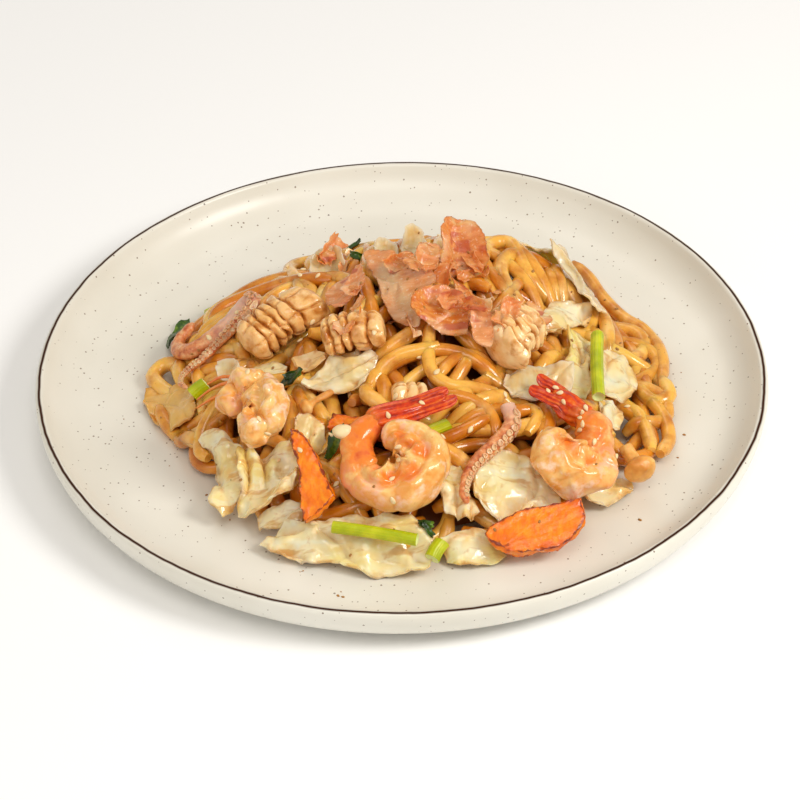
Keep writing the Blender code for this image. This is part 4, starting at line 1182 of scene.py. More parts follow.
def tube(name, length, rings, sides):
    """A straight tube along X with rings of radius 1 mm, extruded ring by ring and closed."""
    bpy.ops.mesh.primitive_circle_add(vertices=sides, radius=MM, rotation=(0, math.pi / 2, 0),
                                      fill_type="NOTHING")
    piece = named(name)
    settle()
    edit(piece, "EDGE")
    for _ in range(rings):
        bpy.ops.mesh.extrude_region_move(TRANSFORM_OT_translate={"value": (length / rings * MM, 0, 0)})
    bpy.ops.mesh.select_all(action="SELECT")
    bpy.ops.mesh.fill_holes(sides=0)
    bpy.ops.mesh.normals_make_consistent(inside=False)
    calm()
    return piece


def bend(piece, spine):
    """Bends a straight piece along a smooth curve through the spine's points, in mm."""
    line = smooth_line(spine, 1.0)
    curve = bpy.data.curves.new(piece.name + "_spine", "CURVE")
    curve.dimensions = "3D"
    curve.twist_mode = "Z_UP"
    add_line(curve, line)
    guide = new_piece(curve.name, curve)
    modify(piece, "CURVE", object=guide, deform_axis="POS_X")
    bpy.data.objects.remove(guide)


def length_of(spine):
    """Length in mm of the smooth curve through a spine's points."""
    line = smooth_line(spine, 1.0)
    return float(np.linalg.norm(np.diff(line, axis=0), axis=1).sum())


def lay_down(piece, node, x, y, turn=0.0, pitch=0.0, roll=0.0):
    """Turns a piece as its solid was turned and puts its box on the middle of the solid's box."""
    turned = (Matrix.Rotation(math.radians(turn), 4, "Z") @ Matrix.Rotation(math.radians(pitch), 4, "X")
              @ Matrix.Rotation(math.radians(roll), 4, "Y"))
    piece.matrix_world = slope_at(x, y) @ turned
    take(piece)
    settle()
    move_to(piece, drawn_in(positions(piece), node))


# %% [markdown]
# ## Prawns
#
# A cooked prawn is a fat tube of flesh in rings. These were peeled and cut open along the back, so
# a deep groove runs along them: outside it is a smooth cream rim, inside it an orange face and
# small lumps of flesh round the hole of the curl. The last ring and the tail fan keep their shell,
# which frying turns red. Numbers kept on the mesh tell the material how orange, how pink and how
# much shell each place is.

# %% A straight prawn
def bumps(points, size_mm, seed):
    """Smooth noise between about -1 and 1 at each of many places in mm."""
    return 1.6 * np.array([wave(x / size_mm, y / size_mm, z / size_mm + seed) for x, y, z in points])


OVERLAP = 1.04             # the flesh runs on by this much, under the shell of the tail


def straight_prawn(name, length, share, sizes, tail, belly, rings, plump, lobes, blades, blush, seed):
    """A straight prawn along X whose flesh takes a share of its length. sizes are radii in mm at
    the thick end, the middle and the tail's root; tail is half the fan's width and its thickness;
    belly is -1 or 1, the side of Y that the belly is on; rings, plump and lobes say how many rings
    show, how far they bulge and how lumpy the flesh is."""
    body = tube(name, length * share * OVERLAP, *PRAWN_GRID)
    points = positions(body)
    along = points[:, 0] / (length * share)
    angle = np.arctan2(points[:, 2], points[:, 1] * -belly)          # 0 at the back, pi at the belly
    back = np.cos(angle)
    end = 0.3 if tail is None else 0.75
    radius = np.interp(along, [0, 0.02, 0.07, 0.14, 0.4, 0.94, OVERLAP],
                       [0.1 * sizes[0], 0.5 * sizes[0], 0.84 * sizes[0], *sizes, end * sizes[2]])
    skin = np.stack([points[:, 0], back * radius, np.sin(angle) * radius], axis=1)
    beat = along * rings + 0.3 * bumps(skin, 11, seed)
    bulge = 1 - plump + 1.5 * plump * np.abs(np.sin(math.pi * beat)) ** 0.5
    open_part = np.interp(along, [0, 0.08, 0.6, 0.8], [0.3, 1, 0.8, 0])
    groove = np.exp(-((angle - 1.45 - 0.2 * bumps(skin, 13, seed + 5)) / 0.24) ** 2) * open_part
    inside = np.clip((1 - back) / 1.6, 0, 1) * open_part
    lumps = bumps(skin, 4.5, seed + 9)
    uneven = 1 + lobes * bumps(skin, 8, seed + 2) + 0.26 * inside * lumps
    radius = radius * bulge * (1 - 0.36 * groove) * uneven
    points[:, 1] = -belly * back * radius
    points[:, 2] = np.sin(angle) * radius
    move_to(body, points)
    limb = np.interp(along, [0.5, 0.75], [0, 1])
    face = np.exp(-((angle - 1.75) / 0.62) ** 2) * open_part * (0.75 - 0.5 * lumps)
    paint(body, "warm", blush * np.clip(np.maximum(face, limb * (0.9 - 0.5 * np.clip(back, 0, 1))), 0, 1))
    paint(body, "pink", blush * np.clip(back, 0, 1) ** 2 * np.interp(along, [0.35, 0.6, 1], [0, 1, 0.8]))
    paint(body, "shell", np.interp(along, [0.9, OVERLAP], [0, 0.35]))
    paint(body, "stripe", along * 0 + angle)
    parts = [body]
    if tail:
        parts += tail_fan(name, length, share, sizes[2], tail, blades)
    return join(parts, name)


def tail_fan(name, length, share, root, tail, blades):
    """The shelled last ring, round and tapering, and the ribbed blades of the fan over it. Each
    blade has a sideways place, a width, a lift at its tip, and where it starts and ends."""
    parts = []
    start = share * length
    room = length - start
    for number, (shift, width, lift, begin, stop) in enumerate(((0.0, 0.9, 0.0, 0.0, 0.62), *blades)):
        blade = tube(f"{name}_blade{number}", room * (stop - begin), *BLADE_GRID)
        points = positions(blade)
        place = points[:, 0] / points[:, 0].max()
        angle = np.arctan2(points[:, 2], points[:, 1])
        ribs = 1 + 0.1 * np.cos(11 * angle + number)
        if number:
            half = tail[0] * width * np.interp(place, [0, 0.3, 0.88, 0.97, 1], [0.7, 1, 1.02, 0.7, 0.3])
            thick = tail[1] * np.interp(place, [0, 0.5, 1], [1.3, 1.0, 0.4])
        else:
            half = np.interp(place, [0, 0.08, 0.5, 1],
                             [0.8 * root, 0.96 * root, 0.5 * (root + tail[0]), 0.9 * tail[0]])
            thick = half * np.interp(place, [0, 0.5, 1], [1, 0.75, 0.4])
        points[:, 1] = np.cos(angle) * half * ribs + shift * tail[0] * (0.8 + 0.3 * place)
        points[:, 2] = np.sin(angle) * thick * ribs + lift * place
        points[:, 0] += start + begin * room
        move_to(blade, points)
        far = begin + (stop - begin) * place
        paint(blade, "warm", 1)
        paint(blade, "pink", np.interp(far, [0.65, 1.0], [0, 1]))
        paint(blade, "shell", np.interp(far, [0, 0.3], [0.35, 1.0]))
        paint(blade, "stripe", angle + number)
        parts.append(blade)
    return parts


ONE_BAND = ((-0.42, 0.52, 0.3, 0.12, 1.0), (0.42, 0.52, 0.6, 0.12, 0.95), (0.0, 0.6, 1.0, 0.0, 0.88))
TWO_PRONGS = ((-0.62, 0.46, -0.5, 0.05, 1.0), (0.6, 0.5, 1.3, 0.05, 0.97))
# node, how orange, spine in mm, share of flesh, radii, tail, place and turns; then the side of the
# belly, rings, how far they bulge, how lumpy, and the blades of the fan
PRAWNS = (
    ("prawn_centre", 1.0,
     [(-3, 6, 0), (3, 9.5, 0), (11, 2, 0), (9, -7, 0), (-2, -11, 0), (-11, -5, 0), (-13, 6, 0),
      (-7, 17, -2), (5, 21, -3), (18, 26, -5), (23, 28, -5)],
     0.7, (7.8, 9.2, 5.4), (4.8, 1.7), (-4, -78.5, 0, -3), -1, 6, 0.11, 0.12, ONE_BAND),
    ("prawn_left", 0.3,
     [(-7, -7, 1), (-1, -11, 0), (6, -7, 0), (8, 2, 0), (4, 10, 0), (-4, 9, 0), (-8, 2, -1)],
     0.98, (8.2, 9.4, 7.0), None, (-57.5, -48, 16), 1, 5, 0.16, 0.24, ()),
    ("prawn_right", 0.85,
     [(-3, 2, 1), (-7, -4, 0), (-2, -11, 0), (7, -9, 0), (9, -1, 0), (6, 8, 0.5),
      (0, 16, -3), (-10, 23, -6), (-15, 26, -7)],
     0.66, (8.4, 9.6, 5.6), (5.0, 1.7), (62.5, -63, 0, 0, -8), 1, 5, 0.1, 0.2, TWO_PRONGS),
)

# %% [markdown]
# The flesh is wet and lets light in, so it gets subsurface scattering: cream, mottled with peach,
# orange in the groove and along the limb of the tail, with a pink back there, and stains of the
# frying sauce in spots. The shell is orange at its root and deep red at the tips, striped along.

# %% Cooked prawn
prawn_flesh, shader = finish("cooked_prawn", 0.22, ior=1.42, Subsurface_Weight=0.18,
                             Subsurface_Scale=0.0025, Coat_Weight=0.3, Coat_Roughness=0.07,
                             Subsurface_Radius=(1.0, 0.45, 0.25))
warm = kept("warm")
pink = kept("pink")
shell = kept("shell")
stripe = kept("stripe")
flesh = blend(ease(grain(6, detail=3), 0.38, 0.62), "F9CB7E", "ECA04A")
flesh = coat(flesh, "FDE3C8", ease(grain(5), 0.5, 0.66), 0.8)
mottle = times(math_of("SUBTRACT", grain(5, detail=3), 0.5), 1.8)
orange = ease(plus(warm, mottle), 0.25, 0.75)
flesh = coat(flesh, "EE7C1E", orange, 0.9)
hot = ease(plus(warm, mottle), 0.9, 1.3)
flesh = coat(flesh, "D84A10", hot, 0.8)
flesh = blend(times(pink, ease(grain(5), 0.35, 0.55, 0.1, 0.6)), flesh, "F08A5C")
sauce = ease(grain(3.5, detail=4), 0.6, 0.72, 0.0, 0.55)
flesh = blend(sauce, flesh, "C47C26")
lines = math_of("SINE", times(stripe, 9.0))
lines = plus(times(lines, 0.13), grain(2.6, detail=3))
red = ramp(lines, [(0.25, "A01C00"), (0.45, "CE3400"), (0.65, "E45806"), (0.85, "EE8228")])
tips = blend(ease(grain(2), 0.4, 0.6), "9C1804", "D23A14")
red = blend(times(pink, 0.4), red, tips)
flesh = blend(ease(shell, 0.15, 0.75), flesh, red)
dye(shader, flesh)
emboss(shader, grain(2.5, detail=3), 0.12)

for number, (node, blush, spine, share, sizes, tail, place, *form) in enumerate(PRAWNS):
    prawn = straight_prawn(node + "_piece", length_of(spine), share, sizes, tail, *form, blush, number * 3.3)
    bend(prawn, spine)
    if number:
        push(prawn, 6.0 + 2 * number, 6.6 - 1.6 * number, number + 4, detail=1)
    lay_down(prawn, node, *place)
    serve(prawn, prawn_flesh, "prawn", node, smooth=80)
    print(node, "triangles:", triangles(prawn))

# %% Legs of the left prawn
LEGS = (((-77, -24, 25), (-71, -25, 31), (-64, -29, 37), (-57, -33, 39)),
        ((-77, -29, 25), (-70, -29, 30), (-63, -32, 34)), ((-73, -21, 30), (-67, -23, 35), (-60, -28, 38)))
limbs = bpy.data.curves.new("prawn_legs", "CURVE")
limbs.dimensions = "3D"
limbs.bevel_depth = 0.75 * MM
limbs.bevel_resolution = 2
limbs.use_fill_caps = True
for points in LEGS:
    line = smooth_line(points, 1.0)
    for k, point in enumerate(add_line(limbs, line)):
        point.radius = 0.45 + 0.9 * k / len(line)
take(new_piece("prawn_legs", limbs))
bpy.ops.object.convert(target="MESH")
legs = bpy.context.object
for name, value in (("warm", 0.7), ("pink", 0.2), ("shell", 0.1), ("stripe", 0.0)):
    paint(legs, name, value)
serve(legs, prawn_flesh, "prawn", "prawn_left", smooth=60)

# %% [markdown]
# ## Squid
#
# Squid is scored crosswise before it is fried, and the heat curls it into a roll whose cuts open:
# plates of unlike width that overlap like an armadillo's, each parted into a few rounded knobs. So
# the roll is a tube with grooves round it and along it, at places that wander and differ from
# piece to piece. Sauce has browned in the grooves and in spots.

# %% Scored rolls
# node, how soaked, length, radius, grooves round it as shares of the length, knobs round it, how far
# the grooves wander, place and turn, bow
SQUID_ROLLS = (
    ("squid_left", 1.0, 37, 10.8, (0.2, 0.31, 0.41, 0.5, 0.66), 6, 0.5, (-43, 3, 33), 4.0),
    ("squid_middle", 0.9, 25, 9.0, (0.17, 0.33, 0.46, 0.74), 5, 0.4, (-17.5, -19, 2), 3.0),
    ("squid_right", 0.1, 25, 11.5, (0.2, 0.37, 0.54, 0.7, 0.86), 7, 1.2, (46.5, -16, 60), 4.0),
    ("squid_small", 0.4, 14, 6.0, (0.34, 0.66), 4, 0.8, (3, -41, 5), 1.0),
)

squid_flesh, shader = finish("scored_squid", 0.2, ior=1.42, Subsurface_Weight=0.3,
                             Subsurface_Scale=0.0025, Coat_Weight=0.5, Coat_Roughness=0.07,
                             Subsurface_Radius=(1.0, 0.65, 0.35))
groove = kept("groove")
soak = kept("soak")
meat = blend(ease(grain(7, detail=3), 0.35, 0.65), "FCE2B0", "F2C684")
meat = coat(meat, "EEB25E", soak, 0.6)
browned = plus(grain(6, detail=4), times(groove, 0.16))
browned = plus(browned, times(soak, 0.05))
meat = coat(meat, "CC8228", ease(browned, 0.54, 0.68), 0.75)
meat = coat(meat, "B45C12", ease(browned, 0.68, 0.8), 0.85)
dye(shader, meat)
emboss(shader, grain(1.8, detail=3), 0.12)


def scored_roll(name, length, radius, cuts, knobs, wander, bow, seed):
    """A roll of squid along X: plates between the cuts, each parted lengthwise into knobs."""
    roll = tube(name, length, *ROLL_GRID)
    points = positions(roll)
    share = points[:, 0] / length
    angle = np.arctan2(points[:, 2], points[:, 1])
    ring = np.stack([np.cos(angle), np.sin(angle)], axis=1) * radius
    drift = np.array([wave(x / 8, a / 8, b / 8 + seed) for x, (a, b) in zip(points[:, 0], ring)])
    turned = np.array([wave(x / 6, a / 9, b / 9 + seed + 7) for x, (a, b) in zip(points[:, 0], ring)])
    place = share + 0.07 * wander * drift
    marks = np.array((0.0, *cuts, 1.0))
    row = np.clip(np.searchsorted(marks, place, side="right") - 1, 0, len(cuts))
    inner = np.clip((place - marks[row]) / (marks[row + 1] - marks[row]), 0, 1)
    draws = np.random.default_rng(seed)
    offset = draws.uniform(0, 2 * math.pi, len(cuts) + 1)[row]
    size = draws.uniform(0.93, 1.07, len(cuts) + 1)[row]
    beside = np.min([np.abs(place - cut) for cut in cuts], axis=0) * length
    round_cut = np.exp(-(beside / 0.65) ** 2)
    turn = (angle + offset + 0.5 * wander * turned) * knobs / (2 * math.pi)
    aside = np.abs(turn - np.round(turn)) * 2 * math.pi / knobs * radius
    long_cut = np.exp(-(aside / 0.7) ** 2) * np.clip((0.5 - np.abs(share - 0.5)) * 12, 0, 1)
    size = 1 + (size - 1) * (1 - np.exp(-(beside / 1.6) ** 2))
    ends = (1 - np.abs(2 * np.clip(share, 0.003, 0.997) - 1) ** 7) ** 0.55
    plate = 0.95 + 0.07 * np.sin(math.pi * inner) ** 0.6 + 0.07 * (inner - 0.5)
    full = radius * ends * size * plate * (1 - 0.2 * round_cut - 0.13 * long_cut * (1 - round_cut))
    points[:, 0] = (share - 0.5) * length
    points[:, 1] = np.cos(angle) * full + bow * (1 - (2 * share - 1) ** 2)
    points[:, 2] = np.sin(angle) * full * 0.86
    move_to(roll, points)
    paint(roll, "groove", np.maximum(round_cut, long_cut))
    return roll


for number, (node, soak, length, radius, cuts, knobs, wander, place, bow) in enumerate(SQUID_ROLLS):
    roll = scored_roll(node + "_piece", length, radius, cuts, knobs, wander, bow, number + 3)
    paint(roll, "soak", soak)
    push(roll, 9.0, 2.4, number)
    lay_down(roll, node, *place)
    serve(roll, squid_flesh, "squid", node, smooth=80)
flap = crumple("squid_flap", ruffle=4.0, curl=2.0, fine=0.4, thin=0.1, seed=90)
paint(flap, "soak", 0.4)
serve(flap, squid_flesh, "squid", "squid_flap", smooth=80)

# %% [markdown]
# ## Squid arms
#
# An arm tapers to a thread, bends every way, and carries two rows of suckers underneath, each a
# small ring with a hollow. One sucker is modelled and copied along a straight arm, ever smaller,
# and then the whole arm is bent. The skin is lilac to brick red, the suckers cream.

# %% Arms with suckers
ARMS = (      # node, spine, radii at even places along it, place, roll of the suckers and the share
    # of the length where they begin, redness, and where along it the skin is pale, and how far
    ("tentacle_left",
     [(-3, 14, 1), (-10, 8, 0), (-9, 0, 0), (-2, -5, 0), (8, -3, 0), (17, 2, 1), (25, 6, 3),
      (28, 1, 3), (20, -3, 1), (12, -8, 0), (4, -15, 0), (-4, -19, 0), (-6, -25, 0), (-2, -32, 0)],
     (2.2, 2.9, 3.8, 3.9, 3.4, 2.6, 2.2, 1.7, 1.2, 0.8), (-78, 14, 0, 0, 8), (0.9, 0.5), 0.45, (0.43, 0.1)),
    ("tentacle_right",
     [(13, 21, 1), (15, 13, 0), (10, 5, 0), (3, -3, 0), (-2, -11, 0), (-4, -20, 0), (-2, -24, 0)],
     (2.9, 3.2, 3.0, 2.8, 2.4, 1.9, 1.4), (26, -67), (0.5, 0.1), 0.3, (0.0, 0.14)),
)

arm_skin, shader = finish("squid_arm_skin", 0.28, ior=1.42, Subsurface_Weight=0.2,
                          Subsurface_Scale=0.002, Coat_Weight=0.35, Coat_Roughness=0.12)
sucker = kept("sucker")
redness = kept("tone")
skin = ramp(grain(3, detail=4), [(0.32, "B2522A"), (0.5, "DA8850"), (0.68, "F2B880")])
pale = kept("pale")
skin = coat(skin, "E0BCA8", pale, 0.8)
cups = blend(times(redness, ease(grain(4), 0.4, 0.6)), "ECC898", "B8502A")
skin = blend(times(sucker, 0.9), skin, cups)
dye(shader, skin)
emboss(shader, grain(0.9, detail=2), 0.2)


SUCKERS_END = 0.96         # as a share of the arm's length


def sucker_cup():
    """One sucker: a ring that stands up and turns in to a hollow, 1 mm in radius."""
    bpy.ops.mesh.primitive_circle_add(vertices=12, radius=MM, fill_type="NGON")
    cup = bpy.context.object
    edit(cup, "FACE")
    bpy.ops.mesh.extrude_region_move(TRANSFORM_OT_translate={"value": (0, 0, 0.6 * MM)})
    bpy.ops.mesh.inset(thickness=0.35 * MM)
    bpy.ops.mesh.extrude_region_move(TRANSFORM_OT_translate={"value": (0, 0, -0.35 * MM)})
    calm()
    return cup


def attribute_values(piece, name):
    """The numbers kept on a piece's vertices under a name."""
    values = np.empty(len(piece.data.vertices), dtype=np.float32)
    piece.data.attributes[name].data.foreach_get("value", values)
    return values


for node, spine, radii, place, (roll, first), red_share, (middle, spread_of) in ARMS:
    length = length_of(spine)
    arm = tube(node + "_piece", length, *ARM_GRID)
    points = positions(arm)
    along = points[:, 0] / length
    angle = np.arctan2(points[:, 2], points[:, 1])
    even = np.linspace(0, 1, len(radii))
    radius = np.interp(along, even, radii) * np.interp(along, [0, 0.015, 0.98, 1], [0.4, 1, 1, 0.3])
    points[:, 1] = np.cos(angle) * radius
    points[:, 2] = np.sin(angle) * radius * 0.85
    move_to(arm, points)
    paint(arm, "along", along)
    paint(arm, "sucker", 0)
    parts = [arm]
    cup = sucker_cup()
    spot = first
    while spot < SUCKERS_END:
        out = float(np.interp(spot, even, radii)) * 0.86
        size = 0.42 * out + 0.2
        for row in (-1, 1):
            copy = new_piece("sucker", cup.data.copy())
            turn = roll + row * 0.5
            seat = Vector((spot * length, math.cos(turn) * out, math.sin(turn) * out))
            copy.matrix_world = (Matrix.Translation(seat * MM)
                                 @ Matrix.Rotation(turn - math.pi / 2, 4, "X") @ Matrix.Scale(size, 4))
            take(copy)
            settle()
            paint(copy, "along", spot)
            paint(copy, "sucker", 1)
            parts.append(copy)
        spot += size * 2.3 / length
    bpy.data.objects.remove(cup)
    arm = join(parts, node + "_piece")
    paint(arm, "tone", red_share)
    reach = attribute_values(arm, "along")
    paint(arm, "pale", np.exp(-((reach - middle) / spread_of) ** 2))
    push(arm, 2.6, 1.1, 7)
    bend(arm, spine)
    lay_down(arm, node, *place)
    serve(arm, arm_skin, "squid_arm", node, smooth=50)

# %% [markdown]
# ## Mushrooms
#
# Small brown caps on pale stalks, smooth and satin, darker where the sauce has soaked in.

# %% Mushrooms
mushroom_flesh, shader = finish("fried_mushroom", 0.35, Subsurface_Weight=0.2, Subsurface_Scale=0.002)
cap = ramp(grain(8, detail=3), [(0.35, "D08636"), (0.55, "EEB058"), (0.7, "F8D088")])
dye(shader, cap)
emboss(shader, grain(2.5, detail=2), 0.2)
for number, node in enumerate(["mushroom_right", "mushroom_left"]):
    mushroom = copy_of(node)
    modify(mushroom, "SUBSURF", levels=3)
    push(mushroom, 7.0, 1.6, 100 + number)
    serve(mushroom, mushroom_flesh, "mushroom", node, smooth=80)

# %% [markdown]
# ## Fish flakes
#
# Dried, smoked fish is shaved thinner than paper. The shavings are stiff and curl, they show the
# lines of the muscle as wood shows its grain, light comes through, and the edges are torn into
# threads. Pink-tan in the light, brick red where the dark muscle was cut.

# %% Flakes
shaving, shader = finish("dried_fish_shaving", 0.36, Subsurface_Weight=0.5, Subsurface_Scale=0.002,
                         Coat_Weight=0.12, Subsurface_Radius=(1.0, 0.5, 0.25))
edge = kept("edge")
tone = kept("tone")
lines = grain(1.8, detail=3, stretch=(0.2, 1.3, 0.8), distortion=0.2)
pink = ramp(lines, [(0.3, "E08C50"), (0.5, "EA9860"), (0.7, "F4B080")])
orange = ramp(lines, [(0.3, "CA6A1E"), (0.5, "DA7E30"), (0.7, "EC9E50")])
colour = blend(plus(tone, math_of("SUBTRACT", grain(16), 0.5)), pink, orange)
colour = blend(ease(grain(15, detail=1), 0.52, 0.68, 0.0, 0.6), colour, "FBCFA2")
flecked = times(ease(grain(1.0, detail=2), 0.6, 0.7), 0.45)
colour = blend(flecked, colour, "FCE6CC")
dark = plus(grain(13, detail=2, stretch=(0.6, 1.4, 1.2)), times(tone, 0.08))
colour = blend(ease(dark, 0.64, 0.68, 0.0, 0.75), colour, "B04A2C")
rim = times(ease(edge, 0.85, 1), ease(grain(5), 0.45, 0.6))
colour = coat(colour, "A85A24", rim, 0.5)
dye(shader, colour)
emboss(shader, lines, 0.05)

FLAKES = {        # node: heading, width and height of its curls; then 0 for pink and 1 for orange
    "flake_large": ((-60, 16, 2.2), 0.0), "flake_front": ((30, 14, 2.0), 1.0),
    "flake_right": ((-40, 9, 2.0), 0.8), "flake_small_right": ((80, 9, 1.2), 0.1),
    "flake_top": ((-20, 8, 2.4), 0.7), "flake_middle": ((50, 8, 1.6), 0.6),
    "flake_left": ((20, 10, 1.6), 0.1), "flake_left_front": ((60, 8, 1.6), 0.0),
    "flake_outer": ((0, 8, 1.2), 0.6), "flake_far": ((40, 8, 1.2), 0.9)}
for number, (node, (folds, orange)) in enumerate(FLAKES.items()):
    flake = crumple(node, cuts=5, ruffle=3.2, ruffle_size=18, curl=3.4, curl_size=9.0, fine=0.2, fine_size=3,
                    frayed=1.5, thin=0.08, folds=folds, crease=1.0, seed=120 + number)
    paint(flake, "tone", orange)
    serve(flake, shaving, "fish_flake", node, smooth=80)

# %% [markdown]
# ## Small things
#
# Hulled sesame, torn bits of the fish shavings, chips of green leaf and crumbs of sauce lie about.
# One of each is modelled. Copies go where the picture shows them, found by looking from the camera
# to what is seen there, and more are strewn at random. Each copy has a mesh of its own and lies
# flat on the surface that it meets; the torn shavings stand at a slant.

# %% Finding places and strewing
FRAME_WIDTH = 800


def met_by(origin, way):
    """Where a ray first meets the scene, and which way the surface faces there."""
    _, where, normal, *_ = bpy.context.scene.ray_cast(bpy.context.evaluated_depsgraph_get(), origin, way)
    return where, normal


def seen_at(px, py):
    """What the camera sees at a place of the 800 by 800 picture: where, and which way it faces."""
    bpy.context.view_layer.update()
    focal = LENS / 36 * FRAME_WIDTH
    way = Vector((px - FRAME_WIDTH / 2, FRAME_WIDTH / 2 - py, -focal)).normalized()
    ray = camera.matrix_world.to_quaternion() @ way
    return met_by(camera.matrix_world.translation, ray)


def below(x, y):
    """What lies under a place, from above."""
    return met_by(Vector((x, y, 200)) * MM, Vector((0, 0, -1)))


def on_heap(spot, margin=0.0):
    """Whether a spot lies on the heap, and not past its edge on the bare plate."""
    x, y = spot[0].x / MM, spot[0].y / MM
    return out_at(x, y) < edge_at(x, y) - margin


def strew(name, pattern, spots, draw, sizes, sink):
    """Copies a small pattern onto spots, flat on the surface there, as one piece."""
    copies = []
    for where, normal in spots:
        copy = new_piece(name, pattern.data.copy())
        copy.matrix_world = (Matrix.Translation(where - normal * sink * MM)
                             @ normal.to_track_quat("Z", "Y").to_matrix().to_4x4()
                             @ Matrix.Rotation(draw.uniform(0, 2 * math.pi), 4, "Z")
                             @ Matrix.Scale(draw.uniform(*sizes), 4))
        paint(copy, "tone", draw.random())
        copies.append(copy)
    bpy.data.objects.remove(pattern)
    take(copies[0])
    for copy in copies:
        copy.select_set(True)
    settle()
    return join(copies, name)


def torn_sheet(long, wide, thick, seed):
    """A thin sheet with an uneven outline, in mm, curled across and lying on the origin."""
    bpy.ops.mesh.primitive_grid_add(x_subdivisions=22, y_subdivisions=16, size=1)
    sheet = bpy.context.object
    points = positions(sheet) * MM
    for k, (x, y, _) in enumerate(points):
        width = wide * (0.75 + 0.5 * wave(x * 3, seed, 0) - 0.5 * x * x)
        length = long * (1 + 0.35 * wave(y * 4, seed, 5))
        curl = 1.2 * (2 * y) ** 2 + 1.5 * wave(x * 2.5, y * 2.5, seed)
        points[k] = (x * length, y * width, curl * wide / 8)
    move_to(sheet, points)
    modify(sheet, "SOLIDIFY", thickness=thick * MM)
    paint(sheet, "edge", 0)
    return sheet


STREWN_REACH = 86.0     # how far from the heap's middle things are strewn on it, in mm


def strewn(draw, count):
    """Random places on the heap, evenly spread."""
    spots = []
    for _ in range(count):
        angle, out = draw.uniform(0, 2 * math.pi), STREWN_REACH * math.sqrt(draw.random())
        spots.append(below(*from_middle(angle, out)))
    return spots


# %% Torn shavings
SHARDS_TOP = 61.0      # the shavings that stand higher are pressed down towards this height, in mm
SHARDS_SEEN = ((452, 300), (466, 280), (480, 306), (494, 292), (440, 258), (428, 247), (346, 268), (353, 292),
               (508, 314), (330, 250), (318, 262), (500, 322), (470, 326), (410, 330), (442, 284), (360, 306),
               (388, 322), (350, 325), (476, 262), (486, 276), (456, 268), (398, 262), (416, 262), (300, 262))
draw = random.Random(5)
spots = []
for pixel in SHARDS_SEEN:
    where, _ = seen_at(*pixel)
    slant = Vector((draw.uniform(-0.9, 0.9), draw.uniform(-0.9, 0.3), draw.uniform(0.5, 1.0))).normalized()
    if on_heap((where, slant), 8):
        spots.append((where, slant))
shards = strew("torn_shavings", torn_sheet(11, 7, 0.25, 2.0), spots, draw, (0.6, 1.25), -1.2)
push(shards, 9.0, 5.0, 31)
points = positions(shards)
points[:, 2] = np.interp(points[:, 2], [0, SHARDS_TOP, SHARDS_TOP + 10], [0, SHARDS_TOP, SHARDS_TOP + 6])
move_to(shards, points)
serve(shards, shaving, "fish_flake", "flake_middle", smooth=80)

# %% Green chips
CHIPS_SEEN = ((278, 268), (355, 246), (357, 257), (427, 530), (425, 525), (217, 300), (186, 322), (292, 376))
spots = [spot for spot in (seen_at(*pixel) for pixel in CHIPS_SEEN) if on_heap(spot, -3)]
chips = strew("green_chips", torn_sheet(6.0, 3.4, 0.4, 7.0), spots, draw, (0.7, 1.2), -0.6)
serve(chips, dark_leaf, "dark_greens", "dark_leaf_left", smooth=60)

# %% Sesame seeds
SEEDS_SEEN = ((548, 391), (556, 388), (560, 393), (564, 402), (582, 412), (586, 408), (580, 418), (583, 424),
              (567, 428), (580, 430), (594, 442), (616, 456), (422, 403), (398, 447), (399, 460), (300, 450),
              (314, 523), (268, 433), (420, 357), (393, 500), (388, 415), (312, 322), (358, 352), (300, 275),
              (318, 276), (437, 372), (505, 395), (470, 430), (350, 395), (248, 372))
bpy.ops.mesh.primitive_uv_sphere_add(segments=10, ring_count=7, radius=MM)
seed = bpy.context.object
seed.scale = (1.6, 0.95, 0.55)
settle()
points = positions(seed)
points[:, 1] *= np.interp(points[:, 0], [-1.6, 0.2, 1.6], [1.15, 1.0, 0.45])
move_to(seed, points)
SEEDS_STREWN = 26
spots = [seen_at(*pixel) for pixel in SEEDS_SEEN] + strewn(draw, SEEDS_STREWN)
seeds = strew("sesame_seeds", seed, spots, draw, (0.8, 1.05), -0.25)
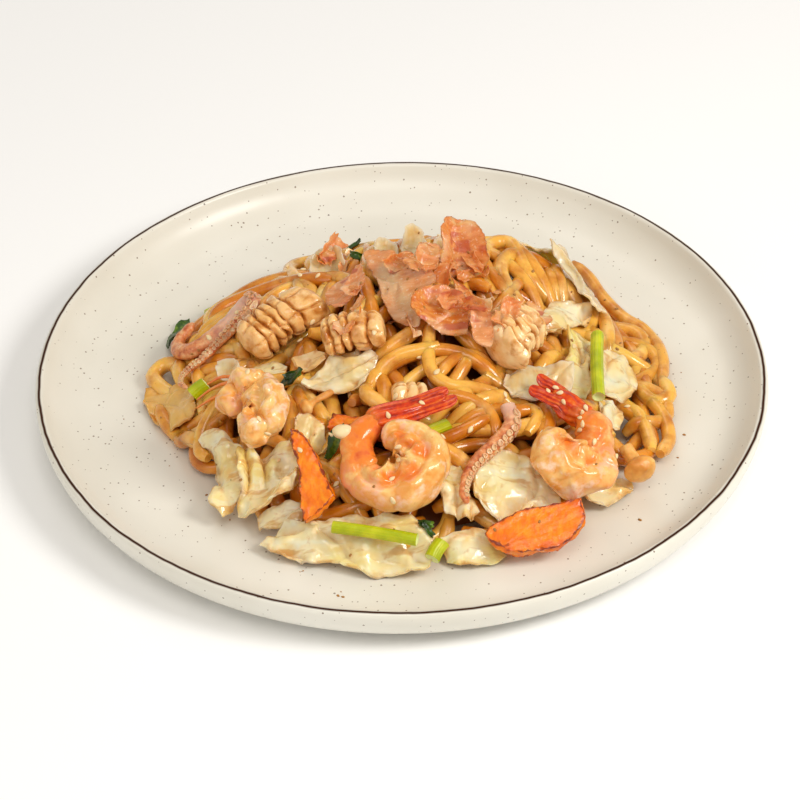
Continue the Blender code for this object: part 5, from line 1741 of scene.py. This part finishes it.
hulled, shader = finish("hulled_sesame", 0.4, Subsurface_Weight=0.2, Subsurface_Scale=0.001)
cream = blend(grain(5), "F7E6BE", "E9C98C")
dye(shader, cream)
serve(seeds, hulled, "udon_noodle", "noodles", smooth=60)

# %% A bean, and crumbs on the plate
bpy.ops.mesh.primitive_uv_sphere_add(segments=24, ring_count=16, radius=3.1 * MM)
bean = bpy.context.object
bean.scale = (1.25, 0.95, 0.8)
where, normal = seen_at(344, 433)
bean.location = where + normal * 0.8 * MM
bean.name = "white_bean"
push(bean, 4.0, 1.0, 12)
serve(bean, hulled, "udon_noodle", "noodles", smooth=80)

bpy.ops.mesh.primitive_ico_sphere_add(subdivisions=2, radius=0.6 * MM)
crumb = bpy.context.object
crumb.scale = (1.3, 0.8, 0.5)
settle()
push(crumb, 0.7, 0.9, 3)
CRUMBS_SEEN = ((300, 572), (303, 571), (341, 592), (338, 596), (343, 597), (605, 300), (640, 520), (230, 520))
CRUMBS_BESIDE, CRUMBS_STREWN = 30, 60       # how many lie beside the heap, and on it
spots = [seen_at(*pixel) for pixel in CRUMBS_SEEN]
for _ in range(CRUMBS_BESIDE):
    angle = draw.uniform(0, 2 * math.pi)
    out = edge_at(*from_middle(angle, 1)) + 2 + 16 * draw.random() ** 2
    spots.append(below(*from_middle(angle, out)))
spots += strewn(draw, CRUMBS_STREWN)
crumbs = strew("sauce_crumbs", crumb, spots, draw, (0.35, 1.1), -0.1)
burnt_sauce, shader = finish("browned_sauce_crumb", 0.4)
brown = blend(grain(4), "8A5A20", "C08A44")
dye(shader, brown)
serve(crumbs, burnt_sauce, "udon_noodle", "noodles", smooth=60)

# %% [markdown]
# ## The end
#
# The visual model must not outgrow the CAD model, so the four pieces that reach highest are printed with
# their heights.

def top_of(piece):
    """Height in mm of a piece's highest corner."""
    return max((piece.matrix_world @ Vector(corner)).z for corner in piece.bound_box) / MM


food = [piece for piece in bpy.data.objects if piece.type == "MESH" and not piece.hide_render]
for piece in sorted(food, key=top_of)[-4:]:
    print("reaches highest:", piece.name, round(top_of(piece), 1), "mm")
